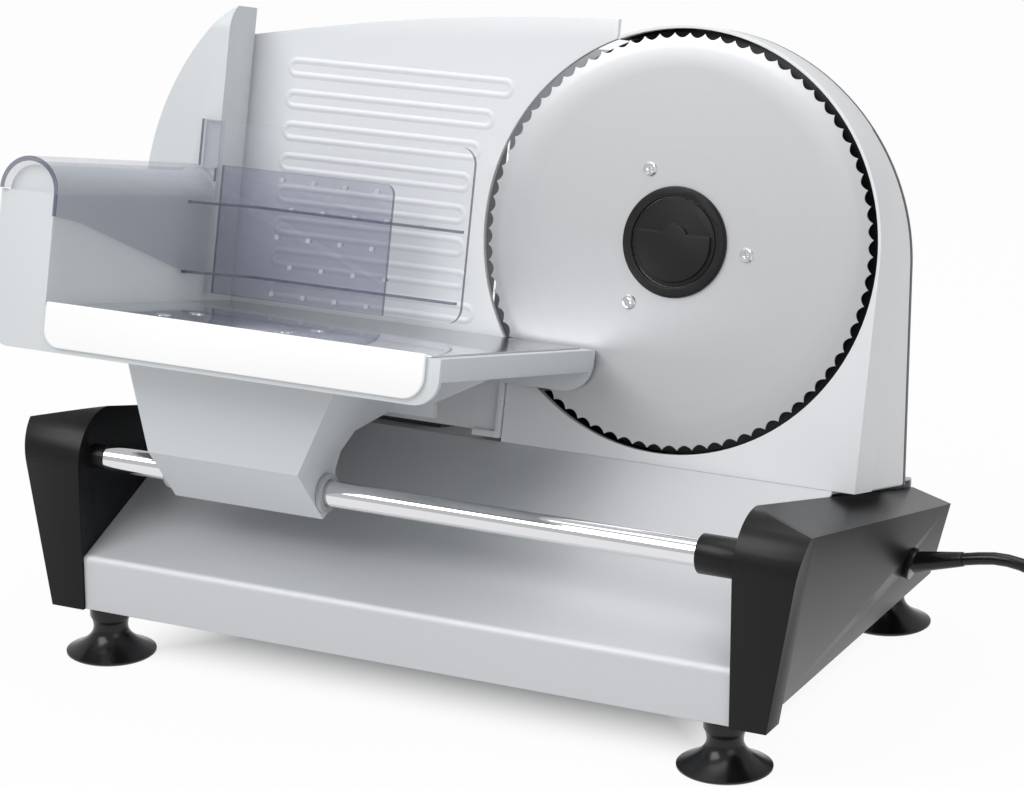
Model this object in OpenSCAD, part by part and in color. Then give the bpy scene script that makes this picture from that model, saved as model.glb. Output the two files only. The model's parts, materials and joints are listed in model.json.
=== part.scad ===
// Electric food slicer: a leaning round blade, a sliding food carriage on a rail,
// a clear food pusher, an adjustable stop plate and a sloped base on suction feet.
// Millimetres. X runs along the rail, Y to the back, Z up, origin under the middle.
// Everything above the base deck leans back, so it is drawn in a tilted frame:
// X as before, V into the machine square to the blade, W up along the blade.

/* [Blade] */
// outside diameter of the toothed blade
blade_d = 190; // [186:1:192]
// thickness of the blade sheet
blade_t = 1.5; // [1:0.1:1.5]
// how many waves round the cutting edge
tooth_count = 80; // [40:4:80]
// radius of each ground wave
tooth_r = 4.1; // [3.6:0.1:4.1]
// depth of each wave from the edge
tooth_deep = 2.3; // [1.2:0.1:2.3]
// width of the ground bevel
bevel_w = 7; // [4:0.5:8]
// radius of the circle of blade screws
blade_screw_pcd_r = 35.5; // [33:0.5:36]
// diameter of each blade screw head
blade_screw_head_d = 7; // [6:0.5:7.5]

/* [Blade housing] */
// backward lean of the blade in degrees
tilt = 13; // [12:0.5:14]
// clear gap round the blade edge
lip_gap = 2; // [1.5:0.5:3]
// depth of the round recess behind the blade
recess_deep = 11; // [10:0.5:12]
// housing edge beyond the blade centre on the right
house_right = 98.5; // [98:0.5:100]
// wall thickness of the housing moulding
house_wall = 2.5; // [2:0.1:3]
// vertical back face of the housing behind the blade centre
house_back = 41; // [40:0.5:44]

/* [Stop plate] */
// thickness of the stop plate
fence_t = 3; // [2.5:0.1:3.5]
// height of the raised guide ribs
rib_h = 1; // [0.5:0.1:1.2]
// spacing of the rib pairs
rib_pitch = 15.2; // [14:0.2:16]
// travel of the stop plate, the thickest slice
slice_max = 15; // [10:1:15]

/* [Carriage] */
// travel of the carriage along the rail
carriage_travel = 170; // [120:5:170]
// diameter of the rail rod
rod_d = 12; // [10:0.5:12]
// radial running clearance in the two bushings
rod_clear = 0.08; // [0.05:0.01:0.1]
// thickness of the carriage moulding
tray_t = 2.5; // [2:0.1:3]
// height of the white front strip
strip_h = 20; // [16:0.5:22]
// thickness of the carriage end wall
rail_w = 25; // [24:0.2:25]

/* [Pusher] */
// outside radius of the half round handle
handle_r = 15.3; // [15:0.1:15.6]
// wall thickness of the clear moulding
clear_t = 2.2; // [1.8:0.1:2.3]
// spike pitch across
spike_pitch = 17; // [16:0.5:17]
// spike pitch in height
spike_rise = 13.5; // [12:0.5:13.5]

/* [Base] */
// clear length between the end caps
bay_len = 324.4; // [320:0.1:326]
// height of the base front edge over the table
foot_h = 23.5; // [22:0.5:25]
// sheet thickness of the base pan
pan_t = 1.5; // [1:0.1:2]
// diameter of a suction cup
cup_d = 42; // [38:1:44]
// diameter of the mains cord
cord_d = 6; // [5:0.5:7]

/* [Hidden] */

$fn = 72;
// hair overlap, overlap of joined walls, overrun of cuts, and a length past everything
eps = 0.01;
join = 0.5;
over = 1;
reach = 300;

// height of the blade centre over the lower edge of the base
base_drop = 171;
// place of the blade centre in the shared frame
bx = 68.7;
by = 41.95;
bz = foot_h + base_drop;

// radii round the blade
blade_r = blade_d / 2;
lip_r = blade_r + lip_gap;
blade_hole_r = 24;
blade_face = -1.2;
// narrow gap between the stop plate and the housing
seam_gap = 0.4;

// the deck the housing stands on, square to the blade
deck_w = -102.2;
deck_front = -23;
side_in = 88;
bay_left = side_in - bay_len;
base_front = -137;
base_bottom = -base_drop;
fold_h = 25.5;
base_fold = base_bottom + fold_h;
base_back = 82;

// rail rod
rod_in = 13;
rod_over_deck = 2.2;
rod_y = base_front + rod_in;
rod_z = deck_w + rod_over_deck;
rod_r = rod_d / 2;

// tray
tray_left = -228.5;
tray_right = -33;
tray_w = -53.5;
tray_front = -163;
tray_back = -3;

function deck_z(y) = (deck_w - y * sin(tilt)) / cos(tilt);
function lerp(a, b, t) = a + (b - a) * t;
function unit(a) = a / norm(a);
// an outline that runs clockwise, moved in by a wall
function inset(p, d) = [for (i = [0:len(p) - 1])
  let (n = len(p), a = unit(p[i] - p[(i + n - 1) % n]), b = unit(p[(i + 1) % n] - p[i]),
       na = [a[1], -a[0]], nb = [b[1], -b[0]]) p[i] + d * (na + nb) / (1 + na * nb)];

module at_blade() { translate([bx, by, bz]) children(); }
module tilted() { at_blade() rotate([-tilt, 0, 0]) children(); }
// a flat outline drawn in X and W, standing in the leaning plane from v0 on for a thickness
module slab(v0, t) { tilted() translate([0, v0 + t, 0]) rotate([90, 0, 0]) linear_extrude(t) children(); }
// an outline drawn in Y and Z, run along X from x0 for a length
module along_x(x0, len) {
  at_blade() translate([x0, 0, 0]) rotate([90, 0, 90]) linear_extrude(len) children();
}
// the same in V and W
module along_tx(x0, len) {
  tilted() translate([x0, 0, 0]) rotate([90, 0, 90]) linear_extrude(len) children();
}
// a block in the tilted frame given by its two corners
module tblock(a, b) { tilted() translate(a) cube(b - a); }
module block(a, b) { at_blade() translate(a) cube(b - a); }
// a drum along V in the tilted frame
module drum(x, w, v0, v1, r, r2 = undef) {
  tilted() translate([x, v0, w]) rotate([-90, 0, 0])
    cylinder(h = v1 - v0, r1 = r, r2 = is_undef(r2) ? r : r2);
}
module spot(x, y, z0, z1, r, r2 = undef) {
  at_blade() translate([x, y, z0]) cylinder(h = z1 - z0, r1 = r, r2 = is_undef(r2) ? r : r2);
}
module rod_along_x(x0, x1, y, z, r) {
  at_blade() translate([x0, y, z]) rotate([0, 90, 0]) cylinder(h = x1 - x0, r = r);
}
// a rounded bar outline between two points on one level
module capsule(x0, x1, w, r) {
  translate([x0, w - r]) square([x1 - x0, 2 * r]);
  for (x = [x0, x1]) translate([x, w]) circle(r);
}

// BASE

// Y and Z outline of the pan's outside, open below by a length
function pan_outline(low = 0) = [
  [base_front, base_bottom - low], [base_front, base_fold], [deck_front, deck_z(deck_front)],
  [base_back, deck_z(base_back)], [base_back, base_bottom - low]
];
cable_hole = [40, 15];
cable_cut = 10;
cable_hole_r = 9;

// bent sheet that makes the front panel, the sloped floor and the deck
module base_pan() {
  color([0.74, 0.75, 0.76]) difference() {
    along_x(bay_left, bay_len) polygon(pan_outline());
    along_x(bay_left - over, bay_len + 2 * over) polygon(inset(pan_outline(pan_t + over), pan_t));
    spot(cable_hole[0], cable_hole[1], deck_z(cable_hole[1]) - cable_cut, deck_z(cable_hole[1]) + cable_cut,
         cable_hole_r);
  }
}

plate_t = 2;
// feet stand in from the caps, the front edge and the back edge
foot_in = 6.7;
foot_from_front = 11;
foot_from_back = 10;
foot_x = [bay_left + foot_in, side_in - foot_in];
foot_y = [base_front + foot_from_front, base_back - foot_from_back];
foot_bolt_r = 2.5;
air_slots = 8;
air_slot = [6, 50];
air_pitch = 14;
air_from = [106.4, 97];

module bottom_plate() {
  color([0.55, 0.56, 0.58]) difference() {
    block([bay_left, base_front + pan_t, base_bottom], [side_in, base_back - pan_t, base_bottom + plate_t]);
    for (x = foot_x, y = foot_y) spot(x, y, base_bottom - over, base_bottom + plate_t + over, foot_bolt_r);
    for (i = [0:air_slots - 1]) let (x = bay_left + air_from[0] + i * air_pitch, y = base_front + air_from[1])
      block([x, y, base_bottom - over], [x + air_slot[0], y + air_slot[1], base_bottom + plate_t + over]);
  }
}

// end caps: a side outline cut by a leaning outer face
cap_past = [1.5, 2];
cap_front = base_front - cap_past[0];
cap_back = base_back + cap_past[1];
cap_low = 10.3;
// the widest the cap could be
cap_max = 60;
roof_share = 1.3;
cap_lean = 0.245;
band_low = 17;
band_lean = 0.168;
band_deep = 14.5;
band_back = cap_front + band_deep;
cap_wall = 3;
cap_round = 24;
cap_fall = 14.3;
cap_droop = 0.28;
cap_top = -72.2;
// height of a section that stands past the roof
section_h = cap_top - base_bottom + over;
// Y and Z of the cap's outline, run in by a wall where asked
module cap_outline(in = 0, low = 0) {
  r = cap_round - in;
  f = cap_front + in;
  top = cap_top - in * roof_share;
  centre_z = top - r * (tan(cap_fall) + 1 / cos(cap_fall));
  touch_y = f + r * (1 + sin(cap_fall));
  difference() {
    polygon([[f, base_bottom - low], [f, top], [cap_back - in, top - (cap_back - in - f) * tan(cap_fall)],
             [cap_back - in, base_bottom - low]]);
    // the rounded top corner at the front
    difference() {
      polygon([[f - over, centre_z], [f - over, top + over], [touch_y, top + over],
               [touch_y, centre_z + r * cos(cap_fall)], [f + r, centre_z]]);
      translate([f + r, centre_z]) circle(r);
    }
  }
}
// the top droops to the outside: X and Z of a section that is swept along the falling top
module cap_roof(in = 0) {
  translate([0, cap_front, cap_top - in * roof_share]) rotate([-cap_fall, 0, 0]) translate([0, reach, 0])
    rotate([90, 0, 0]) linear_extrude(2 * reach)
      polygon([[-over, 0], [cap_max, -cap_max * cap_droop], [cap_max, -reach], [-over, -reach]]);
}
// X and Z of the cap's section, run in by a wall where asked
function cap_section(w, lean, in = 0, low = 0) = [
  [in, base_bottom - low], [w - in, base_bottom - low],
  [w - in + lean * section_h, base_bottom + section_h], [in, base_bottom + section_h]
];
module cap_solid(in = 0, low = 0) {
  intersection() {
    rotate([90, 0, 90]) linear_extrude(cap_max) cap_outline(in, low);
    cap_roof(in);
    union() {
      translate([0, cap_back, 0]) rotate([90, 0, 0]) linear_extrude(cap_back - cap_front)
        polygon(cap_section(cap_low, cap_lean, in, low));
      if (in == 0) translate([0, band_back, 0]) rotate([90, 0, 0]) linear_extrude(band_back - cap_front)
        polygon(cap_section(band_low, band_lean));
    }
  }
}
gland_y = 38;
gland_up = 21;
gland_z = base_bottom + gland_up;
gland_hole_r = 5;
rod_seat = 0.05;
// side is 1 on the right and -1 on the left; the cap is drawn outward from its inner face
module cap(side) {
  at_blade() translate([side > 0 ? side_in : bay_left, 0, 0]) mirror([side > 0 ? 0 : 1, 0, 0]) difference() {
    cap_solid();
    cap_solid(cap_wall, over);
    translate([-over, rod_y, rod_z]) rotate([0, 90, 0])
      cylinder(h = cap_wall + 2 * over, r = (side > 0 ? rod_r : stub_r) + rod_seat);
    if (side > 0) translate([cap_wall + over, gland_y, gland_z]) rotate([0, 90, 0])
      cylinder(h = cap_max, r = gland_hole_r);
  }
}
module cap_left() { color([0.05, 0.05, 0.05]) cap(-1); }
module cap_right() { color([0.05, 0.05, 0.05]) cap(1); }

// suction foot with a hollow underside
foot_neck_r = 9.5;
foot_neck_h = 10;
cup_rim = 1.5;
cup_hollow = 6;
cup_hollow_r = 6;
cup_edge = 1;
neck_waist = 1.5;
bolt_up = 3;
bolt_fit = 0.1;
module foot(x, y) {
  color([0.04, 0.04, 0.04]) difference() {
    union() {
      spot(x, y, base_bottom - foot_neck_h, base_bottom, foot_neck_r);
      spot(x, y, cup_rim - bz, base_bottom - foot_neck_h, cup_d / 2, foot_neck_r - neck_waist);
      spot(x, y, -bz, cup_rim - bz, cup_d / 2 - cup_edge, cup_d / 2);
      spot(x, y, base_bottom, base_bottom + plate_t + bolt_up, foot_bolt_r - bolt_fit);
    }
    spot(x, y, -bz - over, cup_hollow - bz, cup_d / 2 - 2 * cup_edge, cup_hollow_r);
  }
}
module foot_front_left() { foot(foot_x[0], foot_y[0]); }
module foot_front_right() { foot(foot_x[1], foot_y[0]); }
module foot_rear_left() { foot(foot_x[0], foot_y[1]); }
module foot_rear_right() { foot(foot_x[1], foot_y[1]); }

// screws under the base; the one at the front also shows below the edge
base_screw_shares = [0.174, 0.504, 0.833];
base_screw_in = [15, 22];
base_screw_y = [base_front + base_screw_in[0], base_back - base_screw_in[1]];
base_screw_r = [2, 3.5, 4];
base_screw_h = [2.5, 4];
module base_screws() {
  low = base_bottom - base_screw_h[1];
  mid = base_bottom - base_screw_h[0];
  color([0.75, 0.76, 0.78]) for (share = base_screw_shares, y = base_screw_y)
    let (x = lerp(bay_left, side_in, share)) {
      spot(x, y, mid, base_bottom, base_screw_r[1], base_screw_r[2]);
      spot(x, y, low, mid, base_screw_r[0], base_screw_r[1]);
    }
}

rod_into_cap = 12;
module rod() {
  color([0.9, 0.9, 0.91]) rod_along_x(bay_left + socket_len, side_in + rod_into_cap, rod_y, rod_z, rod_r);
}
stub_in = 0.5;
stub_r = rod_r - stub_in;
socket_r = 8.75;
socket_fit = 0.02;
socket_bore = rod_r + socket_fit;
socket_len = 8;
// room between the carriage at the end of its travel and the right socket
stop_room = 10.5;
// on the left a slim stub that the rod's end stands against, on the right a sleeve round the rod
module socket_left() {
  color([0.06, 0.06, 0.06]) rod_along_x(bay_left - rod_into_cap, bay_left + socket_len, rod_y, rod_z, stub_r);
}
module socket_right() {
  x = arm_x[1] + bush_flange_t + carriage_travel + stop_room;
  color([0.06, 0.06, 0.06]) difference() {
    rod_along_x(x, side_in, rod_y, rod_z, socket_r);
    rod_along_x(x - over, side_in + over, rod_y, rod_z, socket_bore);
  }
}

// BLADE HOUSING

shell_back = 20;
shell_run = 2 * house_back;
// where the seam runs, as shares of the lip's radius
seam_share = 0.402;
seam_low_share = 0.801;
seam_w_share = 0.5773;
seam_x = -seam_share * lip_r;
seam_low_x = -seam_low_share * lip_r;
seam_w = -seam_w_share * lip_r;
house_left = -lip_r - over;
shoulder_h = 84;
disc_in = 0.7;
disc_r = lip_r - disc_in;
disc_cheek = 3;
// the leaning outline of the whole housing
module house_outline(in = 0) {
  r = house_right - in;
  intersection() {
    union() {
      circle(r);
      translate([house_left + in, deck_w + in]) square([r - house_left - in, -deck_w - in]);
      translate([house_left + in, -eps]) square([-house_left - in, shoulder_h - in]);
    }
    translate([house_left + in, deck_w + in]) square([r - house_left - in, r - deck_w - in]);
  }
}
// the part of the outline that stands forward beside the stop plate
module house_front_outline() {
  difference() {
    intersection() {
      house_outline();
      union() {
        translate([seam_low_x, deck_w]) square([reach, seam_w - deck_w]);
        translate([seam_x, seam_w - over]) square([reach, reach]);
      }
    }
    circle(lip_r);
  }
}
pinion_x = 25;
pinion_w = -43.3;
shaft_hole_r = 13;
spindle_hole_r = 9;
module house_body() {
  difference() {
    union() {
      slab(shell_back, shell_run) house_outline();
      slab(0, shell_back) house_front_outline();
      slab(recess_deep, shell_back - recess_deep) circle(disc_r);
    }
    // hollow behind the round recess and behind the front wall
    slab(recess_deep + house_wall, shell_run) circle(disc_r - house_wall - disc_cheek);
    slab(shell_back + house_wall, shell_run) house_outline(house_wall);
    slab(recess_deep - over, house_wall + 2 * over) translate([pinion_x, pinion_w]) circle(shaft_hole_r);
    slab(recess_deep - over, house_wall + 2 * over) circle(spindle_hole_r);
    // the upright back face
    block([-reach, house_back, -reach], [reach, house_back + reach, reach]);
  }
}
// the body is made in two parts that meet behind the front wall and below the crown
split_v = shell_back + house_wall;
split_w = 60;
module house_front_space() {
  slab(-over, split_v + over) square(2 * reach, center = true);
  tblock([-reach, 0, split_w], [reach, reach, reach]);
}
module housing_shell() {
  color([0.80, 0.81, 0.82]) intersection() {
    house_body();
    house_front_space();
  }
}
module housing_band() {
  color([0.80, 0.81, 0.82]) difference() {
    house_body();
    house_front_space();
  }
}

// back panel with the bulge for the motor
bulge_side = 41;
bulge_under = 54.7;
bulge_above = 25.3;
bulge_deep = 37;
bulge = [[pinion_x - bulge_side, pinion_w - bulge_under], [pinion_x + bulge_side, pinion_w + bulge_above]];
bulge_back = house_back + bulge_deep;
vents = 7;
vent_in = 14;
vent_pitch = 9;
vent_w = 3;
// rocker switch in the back panel, turning about X
switch_x = -55;
switch_half = [12, 13];
switch_fit = 0.2;
module rear_cover() {
  t = house_wall;
  hole = switch_half + [switch_fit, switch_fit];
  low = bulge[0][1];
  high = bulge[1][1];
  color([0.30, 0.30, 0.31]) difference() {
    union() {
      intersection() {
        slab(shell_back, shell_run) house_outline();
        block([-reach, house_back, -reach], [reach, house_back + t, reach]);
      }
      block([bulge[0][0], house_back + t, low], [bulge[1][0], bulge_back, high]);
    }
    block([bulge[0][0] + t, house_back - over, low + t], [bulge[1][0] - t, bulge_back - t, high - t]);
    for (i = [0:vents - 1]) let (x = bulge[0][0] + vent_in + i * vent_pitch)
      block([x, bulge_back - t - over, low + vent_in], [x + vent_w, bulge_back + over, high - vent_in]);
    block([switch_x - hole[0], house_back - over, -hole[1]],
          [switch_x + hole[0], house_back + t + over, hole[1]]);
  }
}

// steel plate that carries the spindle and the motor
plate_v = recess_deep + house_wall;
gear_plate_t = 2.5;
spindle_r = 6;
gear_hub_r = 30;
gear_side = 29;
gear_under = 30.7;
plate_seat = 0.02;
shaft_pass_r = 4;
module gear_plate() {
  color([0.66, 0.67, 0.69]) difference() {
    slab(plate_v, gear_plate_t) {
      translate([-gear_hub_r, pinion_w - gear_under])
        square([gear_hub_r + pinion_x + gear_side, gear_under - pinion_w]);
      circle(gear_hub_r);
    }
    slab(plate_v - over, gear_plate_t + 2 * over) circle(spindle_r + plate_seat);
    slab(plate_v - over, gear_plate_t + 2 * over) translate([pinion_x, pinion_w]) circle(shaft_pass_r);
  }
}
spindle_flange = [15, 5];
spindle_tip = 0;
module spindle() {
  color([0.7, 0.71, 0.73]) {
    drum(0, 0, spindle_tip, plate_v + gear_plate_t, spindle_r);
    drum(0, 0, plate_v + gear_plate_t, plate_v + gear_plate_t + spindle_flange[1], spindle_flange[0]);
  }
}
motor_r = 26;
motor_v0 = plate_v + gear_plate_t;
motor_len = 56;
shaft_r = 2.5;
shaft_in = 14;
shaft_fit = 0.05;
motor_boss = [8, 4];
module motor() {
  color([0.45, 0.46, 0.48]) difference() {
    union() {
      drum(pinion_x, pinion_w, motor_v0, motor_v0 + motor_len, motor_r);
      drum(pinion_x, pinion_w, motor_v0 + motor_len, motor_v0 + motor_len + motor_boss[1], motor_boss[0]);
    }
    drum(pinion_x, pinion_w, motor_v0 - over, motor_v0 + shaft_in, shaft_r + shaft_fit);
  }
}
clamp_off = 14;
clamp_v = motor_v0 + clamp_off;
clamp_len = 10;
clamp_wall = 2;
strap_half = 8;
module motor_clamp() {
  color([0.62, 0.63, 0.65]) {
    difference() {
      drum(pinion_x, pinion_w, clamp_v, clamp_v + clamp_len, motor_r + clamp_wall);
      drum(pinion_x, pinion_w, clamp_v - over, clamp_v + clamp_len + over, motor_r);
    }
    // the strap's foot stands on the housing floor
    tblock([pinion_x - strap_half, clamp_v, deck_w + house_wall],
           [pinion_x + strap_half, clamp_v + clamp_len, pinion_w - motor_r - clamp_wall / 2]);
  }
}
term_x = -60;
term_v = 30;
term_size = [40, 14, 16];
term_ways = 4;
term_way = [5, 5];
term_first = [4, 6.5];
term_pitch = 9.5;
module terminal_block() {
  floor_w = deck_w + house_wall;
  color([0.85, 0.84, 0.80]) difference() {
    tblock([term_x, term_v, floor_w], [term_x + term_size[0], term_v + term_size[1], floor_w + term_size[2]]);
    for (i = [0:term_ways - 1]) let (x = term_x + term_first[0] + i * term_pitch, w = floor_w + term_first[1])
      tblock([x, term_v - over, w], [x + term_way[0], term_v + term_size[1] + over, w + term_way[1]]);
  }
}
frame_edge = [3, 3];
frame_t = 2.5;
switch_deep = 14;
well_deep = 10;
well_wall = [2.5, 2];
module switch_frame() {
  face = house_back + house_wall;
  edge = switch_half + frame_edge;
  well = switch_half - well_wall;
  color([0.07, 0.07, 0.07]) difference() {
    union() {
      block([switch_x - edge[0], face, -edge[1]], [switch_x + edge[0], face + frame_t, edge[1]]);
      block([switch_x - switch_half[0], house_back - switch_deep, -switch_half[1]],
            [switch_x + switch_half[0], face, switch_half[1]]);
    }
    block([switch_x - well[0], house_back - well_deep, -well[1]],
          [switch_x + well[0], face + frame_t + over, well[1]]);
  }
}
rocker_fit = 0.5;
rocker_pin_in = 2;
rocker_pin_y = house_back + house_wall - rocker_pin_in;
rocker_round_r = 10.3;
rocker_back = 4;
rocker_half_h = 9;
rocker_high = 9;
rocker_dip = 3.2;
module rocker() {
  half = switch_half[0] - well_wall[0] - rocker_fit;
  color([0.55, 0.06, 0.05]) along_x(switch_x - half, 2 * half) translate([rocker_pin_y, 0]) intersection() {
    circle(rocker_round_r);
    polygon([[-rocker_back, -rocker_half_h], [rocker_high, -rocker_half_h], [rocker_dip, 0],
             [rocker_high, rocker_half_h], [-rocker_back, rocker_half_h]]);
  }
}

// STOP PLATE AND ITS GUIDE

fence_left = -232;
fence_low = -98;
fence_arc_r = lip_r + seam_gap;
fence_right = seam_x - seam_gap;
fence_low_right = seam_low_x - seam_gap;
crown_r = 1180;
crown_x = 5;
crown_top = 99;
crown_facets = 720;
module fence_outline() {
  difference() {
    intersection() {
      translate([fence_left, fence_low]) square([fence_right - fence_left, reach]);
      translate([crown_x, crown_top - crown_r]) circle(crown_r, $fn = crown_facets);
    }
    circle(fence_arc_r);
    translate([fence_low_right, fence_low - over]) square([reach, seam_w - fence_low + over]);
  }
}
rib_top = 61.5;
rib_count = 8;
rib_in = 27;
rib_off = 17;
rib_r = [2.8, 4];
rib_arc_r = blade_r + rib_off;
// right end of each rib follows the blade's curve
function rib_end(w) = -sqrt(max(0, rib_arc_r * rib_arc_r - w * w));
// folded edges: thickness, how far forward and back they stand, and where they run
fold_t = 2.2;
fold_out = 2.5;
fold_back = 4.4;
fold_under = 4;
foot_fold_h = 2.5;
foot_fold_len = 13.9;
module fence() {
  color([0.82, 0.83, 0.84]) {
    slab(0, fence_t) fence_outline();
    for (i = [0:rib_count - 1]) let (w = rib_top - i * rib_pitch)
      slab(-rib_h, rib_h + join) difference() {
        capsule(fence_left + rib_in, rib_end(w), w, rib_r[1]);
        capsule(fence_left + rib_in, rib_end(w), w, rib_r[0]);
      }
    tblock([fence_low_right - fold_t, -fold_out, fence_low],
           [fence_low_right, fold_back, seam_w - fold_under]);
    tblock([fence_low_right - foot_fold_len, -fold_out, fence_low - foot_fold_h],
           [fence_low_right, fold_back, fence_low + join]);
  }
}

// two guide rods and the knob's shaft between them
guide_x = -155;
knob_w = -15;
guide_half = 49;
guide_w = [knob_w + guide_half, knob_w - guide_half];
guide_r = 5;
guide_fit = 0.08;
knob_shaft_r = 4;
bracket_t = 3;
bracket_side = 23;
bracket_end = 12;
sleeve_len = 36;
sleeve_r = 9;
nut_r = 8;
// wall left in front of the blind bores, and room past the rods' tips
bore_floor = 1;
tip_gap = 0.5;
rod_tip_v = fence_t + slice_max + bore_floor + tip_gap;
module fence_bracket() {
  v = fence_t + bracket_t;
  color([0.60, 0.61, 0.63]) difference() {
    union() {
      tblock([guide_x - bracket_side, fence_t, guide_w[1] - bracket_end],
             [guide_x + bracket_side, v, guide_w[0] + bracket_end]);
      for (w = guide_w) drum(guide_x, w, v, v + sleeve_len, sleeve_r);
      drum(guide_x, knob_w, v, v + sleeve_len, nut_r);
    }
    for (w = guide_w) drum(guide_x, w, fence_t + bore_floor, v + over + sleeve_len, guide_r + guide_fit);
    drum(guide_x, knob_w, fence_t + bore_floor, v + over + sleeve_len, knob_shaft_r + guide_fit);
  }
}
// upright box that carries the guide rods and the thickness knob
post_gap = 2.5;
post_box_v = fence_t + slice_max + post_gap;
post_v = fence_t + bracket_t + sleeve_len + slice_max + over;
post_t = 6;
post_side = 35;
post_over = 20;
post_wall = 5;
shaft_room = 0.3;
module guide_rods() {
  color([0.72, 0.73, 0.75]) for (w = guide_w) drum(guide_x, w, rod_tip_v, post_v + post_t, guide_r);
}
module dial_post() {
  top = guide_w[0] + post_over;
  color([0.30, 0.30, 0.31]) difference() {
    tblock([guide_x - post_side, post_box_v, deck_w], [guide_x + post_side, post_v + post_t, top]);
    // room for the bracket behind the stop plate
    tblock([guide_x - post_side + post_wall, post_box_v - over, deck_w + post_wall],
           [guide_x + post_side - post_wall, post_v, top - post_wall]);
    for (w = guide_w) drum(guide_x, w, post_v - over, post_v + post_t + over, guide_r);
    drum(guide_x, knob_w, post_v - over, post_v + post_t + over, knob_shaft_r + shaft_room);
  }
}
dial_r = 33;
dial_t = 1.5;
dial_marks = 16;
mark_step = 22;
mark_in = 5;
mark_w = 1;
mark_h = 0.5;
mark_len = 4;
module dial_plate() {
  v = post_v + post_t;
  color([0.86, 0.86, 0.86]) difference() {
    union() {
      drum(guide_x, knob_w, v, v + dial_t, dial_r);
      for (i = [0:dial_marks - 1]) tilted() translate([guide_x, v + dial_t, knob_w])
        rotate([0, i * mark_step, 0]) translate([-mark_w / 2, -join, dial_r - mark_in])
          cube([mark_w, mark_h + join, mark_len]);
    }
    drum(guide_x, knob_w, v - over, v + dial_t + over, knob_shaft_r + shaft_room);
  }
}
knob_gap = 0.3;
knob_v = post_v + post_t + dial_t + mark_h + knob_gap;
knob_r = 26;
knob_h = 18;
knob_rim = 3;
shaft_into_knob = 10;
grip_count = 18;
grip_r = 2.5;
grip_off = 1;
module knob_shaft() {
  color([0.7, 0.7, 0.72]) drum(guide_x, knob_w, rod_tip_v, knob_v + shaft_into_knob, knob_shaft_r);
}
module thickness_knob() {
  g = knob_r + grip_off;
  color([0.06, 0.06, 0.06]) difference() {
    union() {
      drum(guide_x, knob_w, knob_v, knob_v + knob_h - knob_rim, knob_r);
      drum(guide_x, knob_w, knob_v + knob_h - knob_rim, knob_v + knob_h, knob_r, knob_r - knob_rim);
    }
    for (i = [0:grip_count - 1]) let (a = i * 360 / grip_count)
      drum(guide_x + g * cos(a), knob_w + g * sin(a), knob_v - over, knob_v + knob_h + over, grip_r);
    drum(guide_x, knob_w, knob_v - over, knob_v + shaft_into_knob, knob_shaft_r);
  }
}

// BLADE AND DRIVE

screw_count = 3;
screw_turn = 116.5;
screw_hole_r = 2.1;
function screw_angle(i) = screw_turn - i * 360 / screw_count;
// X and W of a screw on its circle
function screw_at(i) = blade_screw_pcd_r * [cos(screw_angle(i)), sin(screw_angle(i))];
module blade() {
  v = blade_face;
  wave = blade_r + tooth_r - tooth_deep;
  color([0.86, 0.86, 0.87]) difference() {
    union() {
      drum(0, 0, v, v + blade_t, blade_r - bevel_w);
      drum(0, 0, v, v + blade_t, blade_r - bevel_w, blade_r);
    }
    drum(0, 0, v - over, v + blade_t + over, blade_hole_r);
    for (i = [0:tooth_count - 1]) let (a = i * 360 / tooth_count)
      drum(wave * cos(a), wave * sin(a), v - over, v + blade_t + over, tooth_r);
    for (i = [0:screw_count - 1])
      drum(screw_at(i)[0], screw_at(i)[1], v - over, v + blade_t + over, screw_hole_r);
  }
}
gear_module = 1.25;
gear_teeth = 64;
pinion_teeth = 16;
press_angle = 25;
backlash = 0.12;
// radii of the points along a flank, as shares of the module from the pitch circle
flank_shares = [-1.15, -0.4, 0.3, 0.9];
// angle turned by the flank of a tooth between its base circle and a radius
function flank(r, rb) = r <= rb ? 0 : sqrt(r * r / (rb * rb) - 1) * 180 / PI - acos(rb / r);
// half the angle a tooth spans at a radius
function half_tooth(n, r) = let (p = n * gear_module / 2, rb = p * cos(press_angle))
  (gear_module * PI / 4 - backlash) / p * 180 / PI + flank(p, rb) - flank(r, rb);
function gear_points(n, phase) = let (p = n * gear_module / 2, last = len(flank_shares) - 1)
  [for (i = [0:n - 1], s = [-1, 1], k = [0:last])
    let (r = p + flank_shares[s < 0 ? k : last - k] * gear_module,
         a = phase + i * 360 / n + s * half_tooth(n, r)) [r * cos(a), r * sin(a)]];
gear_front = 2.6;
gear_gap = 2;
gear_back = recess_deep - gear_gap;
hub_flange_r = 39.5;
hub_seat = 0.05;
spindle_fit = 0.06;
screw_shank_r = 1.75;
screw_left = 2.1;
screw_tip_gap = 0.1;
screw_tip_v = gear_back - screw_left;
mesh_angle = atan2(pinion_w, pinion_x);
module blade_gear() {
  v = blade_face + blade_t;
  color([0.90, 0.89, 0.84]) difference() {
    union() {
      slab(gear_front, gear_back - gear_front) polygon(gear_points(gear_teeth, mesh_angle));
      drum(0, 0, v, gear_front, hub_flange_r);
      drum(0, 0, blade_face, gear_back, blade_hole_r - hub_seat);
    }
    drum(0, 0, blade_face - over, gear_back + over, spindle_r + spindle_fit);
    for (i = [0:screw_count - 1])
      drum(screw_at(i)[0], screw_at(i)[1], v - over, screw_tip_v + screw_tip_gap, screw_shank_r);
  }
}
screw_head_h = 1;
screw_head_taper = 0.7;
cross_len = 3.8;
cross_w = 0.8;
cross_deep = 0.6;
cross_over = 0.1;
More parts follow.
